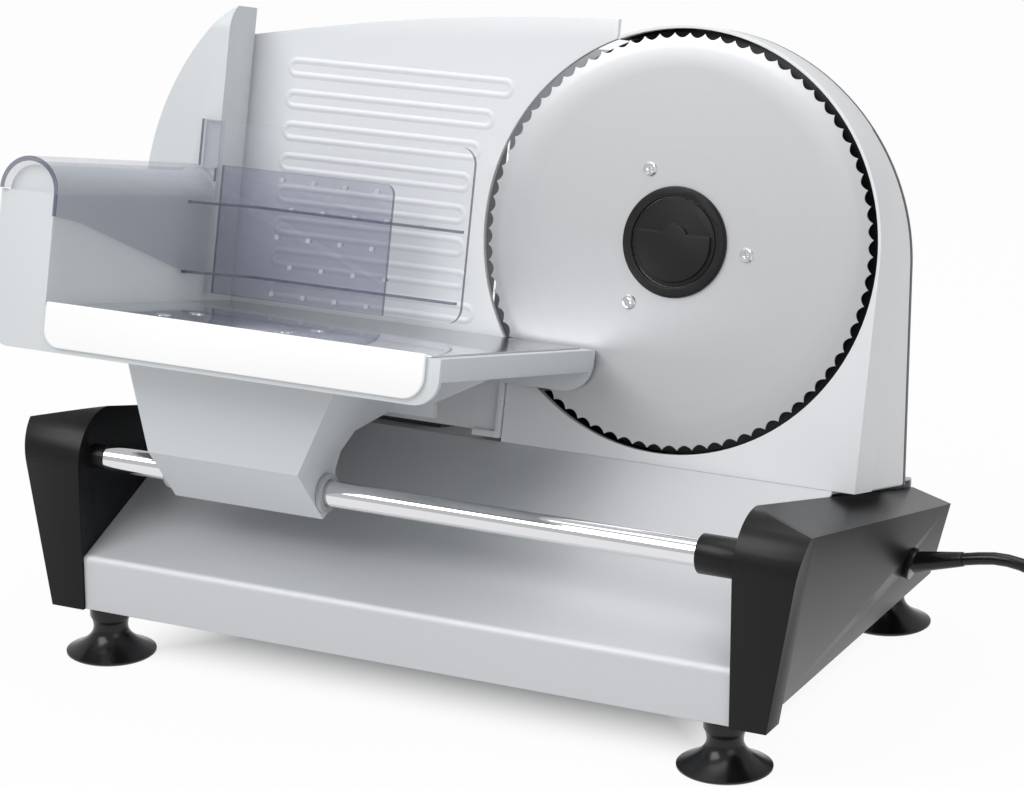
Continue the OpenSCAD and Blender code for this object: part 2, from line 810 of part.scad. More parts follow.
module blade_screws() {
  head_r = blade_screw_head_d / 2;
  color([0.88, 0.88, 0.89]) for (i = [0:screw_count - 1]) let (x = screw_at(i)[0], w = screw_at(i)[1]) {
    difference() {
      drum(x, w, blade_face - screw_head_h, blade_face, head_r - screw_head_taper, head_r);
      for (b = [0, 90]) tilted() translate([x, blade_face - screw_head_h - cross_over, w])
        rotate([0, screw_angle(i) + b, 0]) translate([-cross_len / 2, 0, -cross_w / 2])
          cube([cross_len, cross_deep + cross_over, cross_w]);
    }
    drum(x, w, blade_face, screw_tip_v, screw_shank_r);
  }
}
ring_r = 25.7;
ring_in = 20.7;
ring_h = 2.4;
ring_edge = 0.8;
module hub_ring() {
  color([0.10, 0.10, 0.10]) difference() {
    drum(0, 0, blade_face - ring_h, blade_face, ring_r - ring_edge, ring_r);
    drum(0, 0, blade_face - ring_h - over, blade_face + over, ring_in);
  }
}
lock_gap = 0.3;
lock_disc_h = 1.1;
lock_raise = 1.6;
lock_ring_gap = 0.4;
lock_r = ring_in - lock_ring_gap;
lock_back = blade_face - lock_gap;
lock_mid = lock_back - lock_disc_h;
lock_face = lock_mid - lock_raise;
lock_split = 4;
lock_rim = 2;
nose_r = 7.2;
nose_sink = 3;
module lock_knob() {
  color([0.08, 0.08, 0.08]) {
    slab(lock_mid, lock_back - lock_mid) circle(lock_r);
    slab(lock_face, lock_mid - lock_face + join) {
      intersection() {
        circle(lock_r - lock_rim);
        translate([-lock_r, -lock_r]) square([2 * lock_r, lock_r + lock_split]);
      }
      intersection() {
        translate([0, lock_split - nose_sink]) circle(nose_r);
        translate([-nose_r - over, lock_split - over]) square([2 * (nose_r + over), nose_r + over]);
      }
    }
  }
}
pinion_off = 0.2;
shaft_end_gap = 0.5;
module motor_pinion() {
  v = gear_front + pinion_off;
  color([0.75, 0.70, 0.45]) {
    slab(v, gear_back - gear_front) translate([pinion_x, pinion_w])
      polygon(gear_points(pinion_teeth, mesh_angle + 180 + 180 / pinion_teeth));
    drum(pinion_x, pinion_w, v, motor_v0 + shaft_in - shaft_end_gap, shaft_r);
  }
}

// CARRIAGE

apron_low = -74;
apron_t = 2.5;
apron_past = 1.5;
apron_corner = 12;
side_down = 10;
back_len = 79;
back_t = 2.5;
back_corner = 14;
// a block outline with one rounded corner, sx and sw pick the corner
module corner_block(a, b, r, sx, sw) {
  cx = sx < 0 ? a[0] + r : b[0] - r;
  cw = sw < 0 ? a[1] + r : b[1] - r;
  difference() {
    translate(a) square(b - a);
    difference() {
      translate([sx < 0 ? a[0] - over : cx, sw < 0 ? a[1] - over : cw]) square(r + over);
      translate([cx, cw]) circle(r);
    }
  }
}
module carriage_tray() {
  under = tray_w - tray_t;
  color([0.83, 0.84, 0.85]) {
    tblock([tray_left, tray_front + apron_t, under], [tray_right, tray_back, tray_w]);
    slab(tray_front, apron_t)
      corner_block([tray_left, apron_low], [tray_right + apron_past, tray_w], apron_corner, 1, -1);
    tblock([tray_right - tray_t, tray_front + apron_t, tray_w - side_down],
           [tray_right, tray_back - back_t, under + join]);
    slab(tray_back - back_t, back_t)
      corner_block([tray_right - back_len, apron_low], [tray_right, under + join], back_corner, 1, -1);
  }
}
insert_t = 0.8;
insert_left_in = 4;
insert_right_in = 5;
insert_front_in = 4;
insert_back_in = 6;
module steel_insert() {
  color([0.88, 0.88, 0.89])
    tblock([tray_left + insert_left_in, tray_front + insert_front_in, tray_w],
           [tray_right - insert_right_in, tray_back - insert_back_in, tray_w + insert_t]);
}
strip_t = 2;
strip_up = 1.8;
strip_left_in = 1.5;
strip_right_in = 5;
strip_corner = [8, 10];
module front_strip() {
  low = [tray_left + strip_left_in, tray_w + strip_up - strip_h];
  high = [tray_right - strip_right_in, tray_w + strip_up];
  color([0.97, 0.97, 0.97]) slab(tray_front - strip_t, strip_t) intersection() {
    corner_block(low, high, strip_corner[1], 1, -1);
    corner_block(low, high, strip_corner[0], -1, -1);
  }
}

// hand guard and the rail that the pusher straddles
wall_left = tray_left - rail_w;
wall_top = -5;
end_past = 3;
end_up = 0.4;
end_corner = 10;
rail_end_t = 1;
round_r = rail_w / 2;
rail_x = tray_left - round_r;
guard_front = -26;
guard_back = -2;
guard_t = 2.5;
guard_top = 90;
guard_under = 26;
guard_foot = wall_top - guard_under;
guard_arc_r = 124;
guard_bow = 38.5;
guard_left = tray_left - guard_bow;
guard_widest_w = -2;
guard_round = 14;
// its tangent points stay clear of the rail wall, also once the hollow is moved in by a wall
guard_corner_r = 10;
module guard_outline() {
  intersection() {
    translate([guard_left + guard_arc_r, guard_widest_w]) circle(guard_arc_r);
    corner_block([guard_left - over, guard_foot], [tray_left, guard_top], guard_corner_r, -1, -1);
  }
}
module guard_hollow() {
  intersection() {
    translate([guard_t, 0]) guard_outline();
    translate([-guard_t, 0]) guard_outline();
  }
}
// side outline of the tall guard with its rounded top, moved in by a wall but open at the back
module guard_side(in = 0) {
  r = guard_round - in;
  f = guard_front + in;
  top = guard_top - in;
  difference() {
    translate([f, guard_foot - over]) square([guard_back - f + (in > 0 ? over : 0), top - guard_foot + over]);
    difference() {
      translate([f - over, top - r]) square(r + over);
      translate([f + r, top - r]) circle(r);
    }
  }
}
module carriage_guard() {
  front = tray_front + apron_t;
  bow = tray_left - guard_left + 2 * over;
  color([0.81, 0.82, 0.83]) {
    difference() {
      intersection() {
        slab(guard_front, guard_back - guard_front) guard_outline();
        along_tx(guard_left - over, bow) guard_side();
      }
      intersection() {
        slab(guard_front + guard_t, guard_back - guard_front) guard_hollow();
        along_tx(guard_left - over, bow) guard_side(guard_t);
      }
    }
    difference() {
      union() {
        tblock([wall_left, front, tray_w - tray_t], [tray_left, guard_back, wall_top]);
        drum(rail_x, wall_top, front, guard_front, round_r);
      }
      tblock([wall_left + guard_t, front + rail_end_t, tray_w - tray_t - over],
             [tray_left - guard_t, guard_back - guard_t, wall_top]);
      drum(rail_x, wall_top, front + rail_end_t, guard_front - rail_end_t, round_r - guard_t);
    }
    slab(tray_front, apron_t)
      corner_block([wall_left - end_past, apron_low], [tray_left, wall_top + end_up], end_corner, -1, -1);
  }
}

// arm that hangs from the tray down to the rod
arm_in = 36.5;
arm_len = 77;
arm_x = [tray_left + arm_in, tray_left + arm_in + arm_len];
arm_flare = [12, 25];
flare_h = 53;
arm_deep = 45;
arm_before = 24;
arm_under = 12;
arm_wall = 3;
arm_front = rod_y - arm_before;
arm_back = arm_front + arm_deep;
arm_low = rod_z - arm_under;
// points of the side view below the tray, as shares of the arm's depth from its front and its foot
arm_edge_shares = [[1, 0.778], [0.756, 0.444], [0.733, 0.089], [0.489, 0], [0, 0.6]];
arm_fold = arm_low + arm_edge_shares[4][1] * arm_deep;
function arm_side() = concat([[arm_back, 0]],
  [for (s = arm_edge_shares) [arm_front, arm_low] + s * arm_deep], [[arm_front, 0]]);
// the half of space under the tray
module under_tray(down = 0) { tblock([-reach, -reach, -reach], [reach, reach, tray_w - tray_t - down]); }
module arm_solid(in = 0) {
  a = arm_x[0] + in;
  b = arm_x[1] - in;
  intersection() {
    along_x(-reach, 2 * reach) polygon(in > 0 ? inset(arm_side(), in) : arm_side());
    at_blade() rotate([90, 0, 0]) linear_extrude(reach)
      polygon([[a, -reach], [b, -reach], [b, arm_fold], [b + arm_flare[1], arm_fold + flare_h],
               [b + arm_flare[1], reach], [a - arm_flare[0], reach], [a - arm_flare[0], arm_fold + flare_h],
               [a, arm_fold]]);
    under_tray(in);
  }
}
// webs behind the arm: one runs on from its right side, one goes across to the right under the tray
web_back = 37;
web_foot = [23, 7];
web_len = 61;
web_slope_share = 0.533;
// how far the webs stay in from the arm's own faces and from each other's
web_in = 0.3;
// a plate drawn in X and Z between two places in Y
module across(y0, y1, points) {
  at_blade() translate([0, y1, 0]) rotate([90, 0, 0]) linear_extrude(y1 - y0) polygon(points);
}
module arm_webs() {
  foot = arm_low + arm_edge_shares[0][1] * arm_deep;
  z = foot + web_in;
  x = arm_x[1] + arm_flare[1] * (z - arm_fold) / flare_h - web_in;
  far = arm_back + web_back;
  high = [arm_x[1] + arm_flare[1] - web_in, arm_fold + flare_h];
  intersection() {
    union() {
      across(arm_back - join, far - join, [[x - arm_wall, z], [x, z], high, high - [arm_wall, 0]]);
      across(far - arm_wall, far, [
        [x - join, foot], [x + web_foot[0], foot], [x + web_foot[0], z + web_foot[1]],
        [x + web_len, z + web_foot[1] + (web_len - web_foot[0]) * web_slope_share], [x + web_len, 0],
        [high[0] - join, 0], high - [join, 0]
      ]);
    }
    under_tray();
  }
}
bush_r = 7.7;
boss_r = 9;
boss_len = 22;
window_in = 12;
window_z = [13, 35];
module carriage_arm() {
  color([0.80, 0.81, 0.82]) difference() {
    union() {
      difference() {
        arm_solid();
        arm_solid(arm_wall);
      }
      rod_along_x(arm_x[0], arm_x[0] + boss_len, rod_y, rod_z, boss_r);
      rod_along_x(arm_x[1] - boss_len, arm_x[1], rod_y, rod_z, boss_r);
      arm_webs();
    }
    rod_along_x(arm_x[0] - over, arm_x[1] + over, rod_y, rod_z, bush_r);
    // open window in the back
    block([arm_x[0] + window_in, arm_back - arm_wall - over, arm_fold + window_z[0]],
          [arm_x[1] - window_in, arm_back + over, arm_fold + window_z[1]]);
  }
}
bush_len = 20;
bush_flange_r = 9;
bush_flange_t = 2.5;
// one bushing from each end of the arm, its flange outside
module bushings() {
  color([0.12, 0.12, 0.12]) for (end = [[arm_x[0], 1], [arm_x[1], -1]])
    translate([bx + end[0], by + rod_y, bz + rod_z]) rotate([0, end[1] * 90, 0]) difference() {
      union() {
        cylinder(h = bush_len, r = bush_r);
        translate([0, 0, -bush_flange_t]) cylinder(h = bush_flange_t, r = bush_flange_r);
      }
      translate([0, 0, -bush_flange_t - over])
        cylinder(h = bush_len + bush_flange_t + 2 * over, r = rod_r + rod_clear);
    }
}
// leg that slides on the pan's floor and keeps the carriage from turning round the rod
leg_from_arm = 6;
leg_w = 30;
leg_off = 29;
leg_deep = 12;
leg_gap = 0.4;
leg_y = [deck_front - leg_off, deck_front - leg_off + leg_deep];
function floor_z(y) = lerp(base_fold, deck_z(deck_front), (y - base_front) / (deck_front - base_front));
module glide_leg() {
  color([0.10, 0.10, 0.10]) intersection() {
    along_x(arm_x[0] + leg_from_arm, leg_w)
      polygon([[leg_y[0], floor_z(leg_y[0]) + leg_gap], [leg_y[1], floor_z(leg_y[1]) + leg_gap],
               [leg_y[1], 0], [leg_y[0], 0]]);
    under_tray();
  }
}
// a drum along W
module drum_w(x, v, w0, w1, r) { tilted() translate([x, v, w0]) cylinder(h = w1 - w0, r = r); }
arm_screw_in = [12, 3];
arm_screw_x = [arm_x[0] + arm_screw_in[0], arm_x[1] - arm_screw_in[1]];
arm_screw_from = [21, 49];
arm_screw_h = 0.6;
arm_screw_r = 3.5;
module arm_screws() {
  color([0.8, 0.8, 0.82]) for (x = arm_screw_x, v = arm_screw_from)
    drum_w(x, tray_front + v, tray_w + insert_t, tray_w + insert_t + arm_screw_h, arm_screw_r);
}

// PUSHER

handle_w = -4;
handle_front = -165;
pane_v = -29.2;
pane_left = -237;
pane_right = -91;
pane_top = 33;
pane_low = -49;
pane_corner = 8;
leg_out = rail_x + handle_r;
leg_in = leg_out - clear_t;
// how far the leg stands in from the ring's tangent lines, and its depth under the handle
leg_inset = 0.05;
skirt_deep = 36;
// lower edge of the leg, as shares of the handle's length and of the leg's depth
skirt_shares = [[0, 0.28], [0.17, 0.36], [0.795, 0.93], [0.987, 1], [1, 1]];
spike_plate_t = 2;
spike_h = 4;
spike_r = [1.5, 0.3];
spikes_in_row = 4;
spike_left = -193.2;
spike_top = 8;
// how far each row is shifted, as shares of the pitch
row_shift_shares = [0, 0.38, 0, 0.5, 0];
// a spike that starts a height over the pane
module spike(row, i, from) {
  v = pane_v + clear_t;
  drum(spike_left + (i + row_shift_shares[row]) * spike_pitch, spike_top - row * spike_rise,
       v + from, v + spike_plate_t + spike_h, spike_r[0], spike_r[1]);
}
pane_rib_w = [-6.5, -39.5];
pane_rib_t = 1.4;
pane_rib_h = 3;
pane_rib_in = 2;
web_deep = 25;
web_flat = 2;
web_wide = 26;
module pane_outline() {
  ring_top = handle_w + handle_r;
  intersection() {
    corner_block([leg_in, pane_low], [pane_right, pane_top], pane_corner, 1, 1);
    corner_block([leg_in, pane_low], [pane_right, pane_top], pane_corner, 1, -1);
  }
  translate([pane_left, ring_top - over]) square([leg_in - pane_left + join, pane_top - ring_top + over]);
}
module pusher() {
  back = pane_v + clear_t;
  color([0.72, 0.76, 0.84, 0.45]) {
    // half round handle
    difference() {
      drum(rail_x, handle_w, handle_front, back, handle_r);
      drum(rail_x, handle_w, handle_front - over, back + over, handle_r - clear_t);
      tblock([rail_x - handle_r - over, handle_front - over, handle_w - handle_r - over],
             [rail_x + handle_r + over, back + over, handle_w]);
    }
    // leg on the tray side with its sloped lower edge
    along_tx(leg_in + leg_inset, clear_t - 2 * leg_inset)
      polygon(concat([[handle_front, handle_w + join]],
        [for (s = skirt_shares) [lerp(handle_front, pane_v + join, s[0]), handle_w - s[1] * skirt_deep]],
        [[pane_v + join, handle_w + join]]));
    slab(pane_v, clear_t) pane_outline();
    // the last spike of the second row stands on the pane itself
    spike(1, spikes_in_row, -join);
    // ribs across the front of the pane, each with a web to the leg
    for (w = pane_rib_w) {
      tblock([leg_out - join, pane_v - pane_rib_h, w],
             [pane_right - pane_rib_in, pane_v + join, w + pane_rib_t]);
      tilted() translate([0, 0, w]) linear_extrude(pane_rib_t)
        polygon([[leg_out - join, pane_v + join], [leg_out - join, pane_v - web_deep],
                 [leg_out + web_flat, pane_v - web_deep], [leg_out + web_wide, pane_v],
                 [leg_out + web_wide, pane_v + join]]);
    }
  }
}
spike_plate_off = 0.7;
spike_plate_len = 92.5;
spike_plate_over = 4;
spike_plate_corner = 5;
module spike_plate() {
  v = pane_v + clear_t;
  x = leg_out + spike_plate_off;
  color([0.62, 0.65, 0.74, 0.6]) {
    slab(v, spike_plate_t) corner_block([x, pane_low], [x + spike_plate_len, spike_top + spike_plate_over],
      spike_plate_corner, 1, 1);
    for (row = [0:len(row_shift_shares) - 1], i = [0:spikes_in_row - 1]) spike(row, i, spike_plate_t - join);
  }
}

// MAINS CORD

cord_r = cord_d / 2;
cord_sides = 8;
coil_sides = 6;
// side direction of a ring where the path points nearly straight up
steep_share = 0.95;
// rings of points round a path, each square to it
function sweep_points(p, r, n) = [for (i = [0:len(p) - 1])
  let (t = unit(p[min(i + 1, len(p) - 1)] - p[max(i - 1, 0)]),
       s = unit(cross(t, abs(t[2]) > steep_share ? [1, 0, 0] : [0, 0, 1])), u = cross(s, t))
  for (k = [0:n - 1]) p[i] + r * (cos(360 * k / n) * s + sin(360 * k / n) * u)];
function sweep_faces(m, n) = concat(
  [[for (k = [0:n - 1]) k]],
  [for (i = [0:m - 2], k = [0:n - 1])
    [i * n + k, (i + 1) * n + k, (i + 1) * n + (k + 1) % n, i * n + (k + 1) % n]],
  [[for (k = [0:n - 1]) (m - 1) * n + n - 1 - k]]);
module tube(p, r, n) { polyhedron(sweep_points(p, r, n), sweep_faces(len(p), n), convexity = 8); }

gland_x = side_in + cap_low + cap_lean * gland_up;
gland_rise = 12;
gland_r = 7.5;
gland_stub = 8;
gland_fit = 0.1;
relief_base = 3;
relief_len = 24;
relief_r = 5;
relief_wall = 0.4;
module cord_gland() {
  color([0.05, 0.05, 0.05]) at_blade() translate([gland_x, gland_y, gland_z]) {
    // flange flat on the leaning face of the cap
    rotate([0, 90 + atan(cap_lean), 0]) cylinder(h = relief_base, r = gland_r);
    rotate([0, 90 - gland_rise, 0]) translate([0, 0, relief_base - join])
      cylinder(h = relief_len + join, r1 = relief_r, r2 = cord_r + relief_wall);
    rotate([0, 90, 0]) translate([0, 0, -gland_stub])
      cylinder(h = gland_stub + over, r = gland_hole_r - gland_fit);
  }
}
relief_tip = [bx + gland_x + (relief_base + relief_len) * cos(gland_rise), by + gland_y,
              bz + gland_z + (relief_base + relief_len) * sin(gland_rise)];
// centre line of the free cord from the relief to the coil, in the shared frame
cord_route = [
  [213, 81, 52.4], [226, 81, 51.5], [238, 82, 46.5], [248, 83, 38.5], [257, 84.5, 29], [266, 86, 19.5],
  [277, 88, 11], [290, 90, 5.5], [303, 91.8, 3.2]
];
// round coil in two layers: in on the floor, up at the middle, and out again on top
coil_at = [318, 135, 3.1];
coil_out_r = 43;
coil_pitch = 7.4;
coil_rise = 7;
coil_layer = 2.5;
coil_climb = 0.5;
coil_rings = 24;
coil_turns = 2 * coil_layer + coil_climb;
coil_in_r = coil_out_r - coil_pitch * coil_layer;
function coil_r(t) = t < coil_layer ? coil_out_r - coil_pitch * t
  : t < coil_layer + coil_climb ? coil_in_r : coil_in_r + coil_pitch * (t - coil_layer - coil_climb);
function coil_z(t) = coil_rise * min(1, max(0, (t - coil_layer) / coil_climb));
function coil_point(t) = coil_at + [coil_r(t) * cos(360 * t - 90), coil_r(t) * sin(360 * t - 90), coil_z(t)];
coil_start = coil_at + [-cord_d, -coil_out_r, 0];
coil_end = coil_at + [-cord_d, coil_out_r, coil_rise];
coil_path = concat([coil_start], [for (i = [0:coil_turns * coil_rings]) coil_point(i / coil_rings)],
                   [coil_end]);
// least clear gap between turns, measured between points more than half a turn apart
coil_gap = min([for (i = [0:len(coil_path) - 1], j = [i + coil_rings / 2:len(coil_path) - 1])
  norm(coil_path[i] - coil_path[j])]) - cord_d;
echo(str("least gap between the coil's turns, mm: ", coil_gap));
module cord() {
  color([0.04, 0.04, 0.04]) tube(concat([relief_tip], cord_route, [coil_start]), cord_r, cord_sides);
}
module cord_coil() { color([0.04, 0.04, 0.04]) tube(coil_path, cord_r, coil_sides); }
// plain two pin plug that lies beside the coil
plug_neck = 22;
plug_neck_r = 6;
plug_len = 32;
plug_half = [8, 13];
pin_r = 2;
pin_len = 19;
pin_gap = 19;
module plug() {
  translate(coil_end) rotate([0, -90, 0]) {
    color([0.05, 0.05, 0.05]) {
      cylinder(h = plug_neck, r1 = cord_r + relief_wall, r2 = plug_neck_r);
      translate([-plug_half[0], -plug_half[1], plug_neck - join])
        cube([2 * plug_half[0], 2 * plug_half[1], plug_len + join]);
    }
    color([0.8, 0.8, 0.82]) for (s = [-1, 1]) translate([0, s * pin_gap / 2, plug_neck + plug_len - join])
      cylinder(h = pin_len + join, r = pin_r);
  }
}

// DRAWING

base_pan();
bottom_plate();
cap_left();
cap_right();
housing_shell();
housing_band();
rear_cover();
gear_plate();
spindle();
motor();
motor_clamp();
terminal_block();
switch_frame();
rocker();
rod();
socket_left();
socket_right();
foot_front_left();
foot_front_right();
foot_rear_left();
foot_rear_right();
base_screws();
cord_gland();
guide_rods();
dial_post();
dial_plate();
blade();
blade_gear();
blade_screws();
hub_ring();
lock_knob();
motor_pinion();
fence();
fence_bracket();
knob_shaft();
thickness_knob();
carriage_tray();
carriage_guard();
front_strip();
carriage_arm();
glide_leg();
bushings();
steel_insert();
arm_screws();
pusher();
spike_plate();
cord();
cord_coil();
plug();
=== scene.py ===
"""Looks of a food slicer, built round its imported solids.

The frame is the one of the solids: X along the rail, Y to the back, Z up. Shapes are worked out
in millimetres and go into their meshes in metres, and shaders read metres.
Everything above the deck leans back with the blade, so places there are given as
(x, v, w): along the rail, into the machine square to the blade, and up along the blade.
"""

import json
import math

import bmesh
import bpy
import numpy as np
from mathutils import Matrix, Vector


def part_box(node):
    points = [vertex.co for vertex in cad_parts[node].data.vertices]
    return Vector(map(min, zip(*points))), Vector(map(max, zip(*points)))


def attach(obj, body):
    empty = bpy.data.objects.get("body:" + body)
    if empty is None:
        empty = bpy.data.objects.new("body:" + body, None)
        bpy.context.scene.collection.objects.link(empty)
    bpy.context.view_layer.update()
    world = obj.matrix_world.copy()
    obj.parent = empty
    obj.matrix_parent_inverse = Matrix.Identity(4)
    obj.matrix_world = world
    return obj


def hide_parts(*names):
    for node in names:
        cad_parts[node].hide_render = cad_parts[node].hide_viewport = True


bl_info = {
    "name": "Food slicer looks",
    "version": (1, 0, 0),
    "blender": (4, 5, 0),
    "location": "View3D > Sidebar > Slicer",
    "description": "Dresses the solids of a food slicer with surfaces and materials",
    "category": "Object",
}

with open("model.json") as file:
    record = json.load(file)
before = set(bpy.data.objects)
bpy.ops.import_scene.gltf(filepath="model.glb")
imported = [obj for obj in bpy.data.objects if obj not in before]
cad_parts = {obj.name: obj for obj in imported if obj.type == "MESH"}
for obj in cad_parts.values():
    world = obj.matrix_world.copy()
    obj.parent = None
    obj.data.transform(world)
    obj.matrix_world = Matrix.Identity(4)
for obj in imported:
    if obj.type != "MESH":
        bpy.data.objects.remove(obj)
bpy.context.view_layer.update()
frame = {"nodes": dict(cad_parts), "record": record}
MM = 0.001


def joint(name):
    """The record's entry for one joint."""
    return next(j for j in frame["record"]["behaviour"]["joints"] if j["name"] == name)


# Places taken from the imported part

BLADE_CENTRE = np.array(joint("blade_spin")["pos_m"])
INTO = np.array(joint("blade_spin")["axis"])
ALONG = np.array([1.0, 0.0, 0.0])
UP = np.cross(ALONG, INTO)


def leaning(x, v, w):
    """Places in millimetres from the blade's centre in the leaning frame, as shared metres."""
    x, v, w = np.broadcast_arrays(*(np.asarray(q, float) * MM for q in (x, v, w)))
    return BLADE_CENTRE + x[..., None] * ALONG + v[..., None] * INTO + w[..., None] * UP


# Shader expressions

# rays that see the plain background, in the order in which looked_at adds them
RAY_KINDS = ("Camera", "Transmission", "Glossy")
# painted shade: black painted into the recess round the blade, where shade falls behind its
# teeth; in metres from its centre: inside this radius, between these depths and right of this place
GAP_SHADE_RADIUS = 0.0973
GAP_SHADE_DEPTH = (0.004, 0.014)
GAP_SHADE_FROM_X = -0.060
GAP_SHADE_BLACK = (8, 8, 9)
# the pane of the pusher is right of this place and behind this depth, in metres
PANE_FROM_X = -0.2255
PANE_FROM_V = -0.0300
# how much denser clear plastic gets at a low angle
LOW_VEIL = 0.35
# patterns, in cells a metre
CLOUD_CELLS = 14.0
GRAIN_CELLS = 1400.0
PEEL_CELLS = 260.0
FLAKE_CELLS = 2600.0
BAND_CELLS = 260.0
RING_CELLS = 2600.0
SMEAR_CELLS = 90.0
RIPPLE_CELLS = 45.0


class Socket:
    """A shader value that can be used in ordinary sums, adding its own Math nodes."""

    def __init__(self, shader, link):
        self.shader, self.link = shader, link

    def _math(self, operation, a, b=0.0):
        return self.shader.node("ShaderNodeMath", {"operation": operation}, [a, b])

    def __add__(self, other):
        return self._math("ADD", self, other)

    __radd__ = __add__

    def __sub__(self, other):
        return self._math("SUBTRACT", self, other)

    def __rsub__(self, other):
        return self._math("SUBTRACT", other, self)

    def __mul__(self, other):
        return self._math("MULTIPLY", self, other)

    __rmul__ = __mul__

    def __pow__(self, other):
        return self._math("POWER", self, other)

    def __gt__(self, other):
        return self._math("GREATER_THAN", self, other)

    def size(self):
        """The value without its sign."""
        return self._math("ABSOLUTE", self)

    def or_more(self, other):
        """The larger of the two values."""
        return self._math("MAXIMUM", self, other)


class Shader:
    """A node tree of a material or of the world, with one method that makes every node."""

    def __init__(self, name, owner=None):
        self.material = owner or bpy.data.materials.get(name) or bpy.data.materials.new(name)
        self.material.use_nodes = True
        self.tree = self.material.node_tree
        self.tree.nodes.clear()

    def node(self, kind, settings=None, inputs=None, output=0):
        """Adds a node, sets its settings, then its sockets by name or in order."""
        made = self.tree.nodes.new(kind)
        for key, value in (settings or {}).items():
            setattr(made, key, value)
        pairs = inputs.items() if isinstance(inputs, dict) else enumerate(inputs or [])
        for key, value in pairs:
            if isinstance(value, Socket):
                self.tree.links.new(value.link, made.inputs[key])
            else:
                made.inputs[key].default_value = value
        return Socket(self, made.outputs[output]) if made.outputs else None

    def vector(self, operation, inputs, output=0):
        """A Vector Math node."""
        return self.node("ShaderNodeVectorMath", {"operation": operation}, inputs, output)

    def place(self):
        """Object coordinates, which stay with the piece."""
        return self.node("ShaderNodeTexCoord", output="Object")

    def axis(self, letter):
        """One of the Object coordinates, in metres."""
        return self.node("ShaderNodeSeparateXYZ", None, [self.place()], letter)

    def right_of(self, x):
        """1 right of a place along the rail, in metres from the blade's centre, and 0 left."""
        return self.axis("X") > float(BLADE_CENTRE[0]) + x

    def from_blade(self):
        """How far a point is from the blade's axis, and how far into the machine, in metres."""
        arm = self.vector("SUBTRACT", [self.place(), tuple(BLADE_CENTRE)])
        into = self.vector("DOT_PRODUCT", [arm, tuple(INTO)], "Value")
        reach = self.vector("LENGTH", [arm], "Value")
        return (reach * reach - into * into) ** 0.5, into

    def looked_at(self, mirrored=1.0):
        """1 for rays of the camera and through clear plastic, and a share for reflected ones."""
        camera, through, gloss = (
            self.node("ShaderNodeLightPath", output=f"Is {kind} Ray") for kind in RAY_KINDS
        )
        return camera + through + mirrored * gloss

    def noise(self, vector, scale, detail=2.0, rough=0.5):
        """Smooth noise from 0 to 1 at a number of cells a metre."""
        return self.node(
            "ShaderNodeTexNoise", None,
            {"Vector": vector, "Scale": scale, "Detail": detail, "Roughness": rough},
        )

    def blend(self, factor, a, b):
        """Colour between a and b."""
        sockets = {0: factor, 6: a, 7: b}
        return self.node("ShaderNodeMix", {"data_type": "RGBA"}, sockets, 2)

    def bump(self, height, strength, distance=0.0002):
        """A normal tilted by the slope of a height."""
        sockets = {"Strength": strength, "Distance": distance, "Height": height}
        return self.node("ShaderNodeBump", None, sockets)

    def finish(self, **sockets):
        """Principled surface with the given sockets, and the material."""
        inputs = {key.replace("_", " "): value for key, value in sockets.items()}
        surface = self.node("ShaderNodeBsdfPrincipled", None, inputs)
        self.node("ShaderNodeOutputMaterial", None, {"Surface": surface})
        return self.material


def rgba(colour, share=1.0):
    """Linear colour of a swatch's 0 to 255 sRGB values, darkened to a share of its light."""
    swatch = np.array(colour, float) / 255
    linear = np.where(swatch <= 0.04045, swatch / 12.92, ((swatch + 0.055) / 1.055) ** 2.4)
    return (*(linear * share), 1.0)


def moulded(name, colour, rough, grain=0.10, gloss=0.5):
    """Moulded plastic: one colour with faint cloudiness and a fine even grain in its gloss."""
    s = Shader(name)
    cloud = s.noise(s.place(), CLOUD_CELLS)
    fine = s.noise(s.place(), GRAIN_CELLS, 1.0)
    return s.finish(
        Base_Color=s.blend(cloud, rgba(colour, 0.965), rgba(colour)),
        Roughness=rough + 0.08 * (fine - 0.5),
        Specular_IOR_Level=gloss,
        Normal=s.bump(fine, grain),
    )


def painted(name, colour, rough, metallic, flake=0.0, gap_shade=False):
    """Sprayed paint: orange peel in the gloss, flakes in the silver, painted shade behind the
    blade.
    """
    s = Shader(name)
    peel = s.noise(s.place(), PEEL_CELLS)
    flakes = s.noise(s.place(), FLAKE_CELLS, 1.0)
    paint = s.blend(flakes, rgba(colour, 1.0 - flake), rgba(colour))
    # painted shade: inside the recess behind the blade's teeth the paint turns near black, where
    # shade falls
    if gap_shade:
        away, into = s.from_blade()
        front, back = GAP_SHADE_DEPTH
        shaded_hollow = (1.0 - (away > GAP_SHADE_RADIUS)) * (into > front) * (1.0 - (into > back))
        paint = s.blend(shaded_hollow * s.right_of(GAP_SHADE_FROM_X), paint, rgba(GAP_SHADE_BLACK))
    return s.finish(
        Base_Color=paint,
        Metallic=metallic,
        Roughness=rough + 0.10 * (peel - 0.5),
        Normal=s.bump(peel, 0.06),
        Coat_Weight=0.15,
        Coat_Roughness=0.35,
    )


def ring_brushed(name, colour):
    """Steel brushed in rings round the blade's centre: its height follows the radius alone."""
    s = Shader(name)
    away = s.vector("DISTANCE", [s.place(), tuple(BLADE_CENTRE)], "Value")
    radius = s.node("ShaderNodeCombineXYZ", None, [away, 0.0, 0.0])
    rings = s.noise(radius, RING_CELLS, 3.0, 0.6)
    bands = s.noise(radius, BAND_CELLS, 1.0)
    return s.finish(
        Base_Color=s.blend(bands * 0.5 + rings * 0.5, rgba(colour, 0.92), rgba(colour)),
        Metallic=0.7,
        Roughness=0.42 + 0.12 * (rings - 0.5),
        Normal=s.bump(rings, 0.25, 0.00005),
    )


def polished(name, colour, rough):
    """Bright metal with faint smears in its gloss."""
    s = Shader(name)
    smear = s.noise(s.place(), SMEAR_CELLS, 3.0)
    gloss = rough + 0.05 * (smear - 0.5)
    return s.finish(Base_Color=rgba(colour), Metallic=1.0, Roughness=gloss)


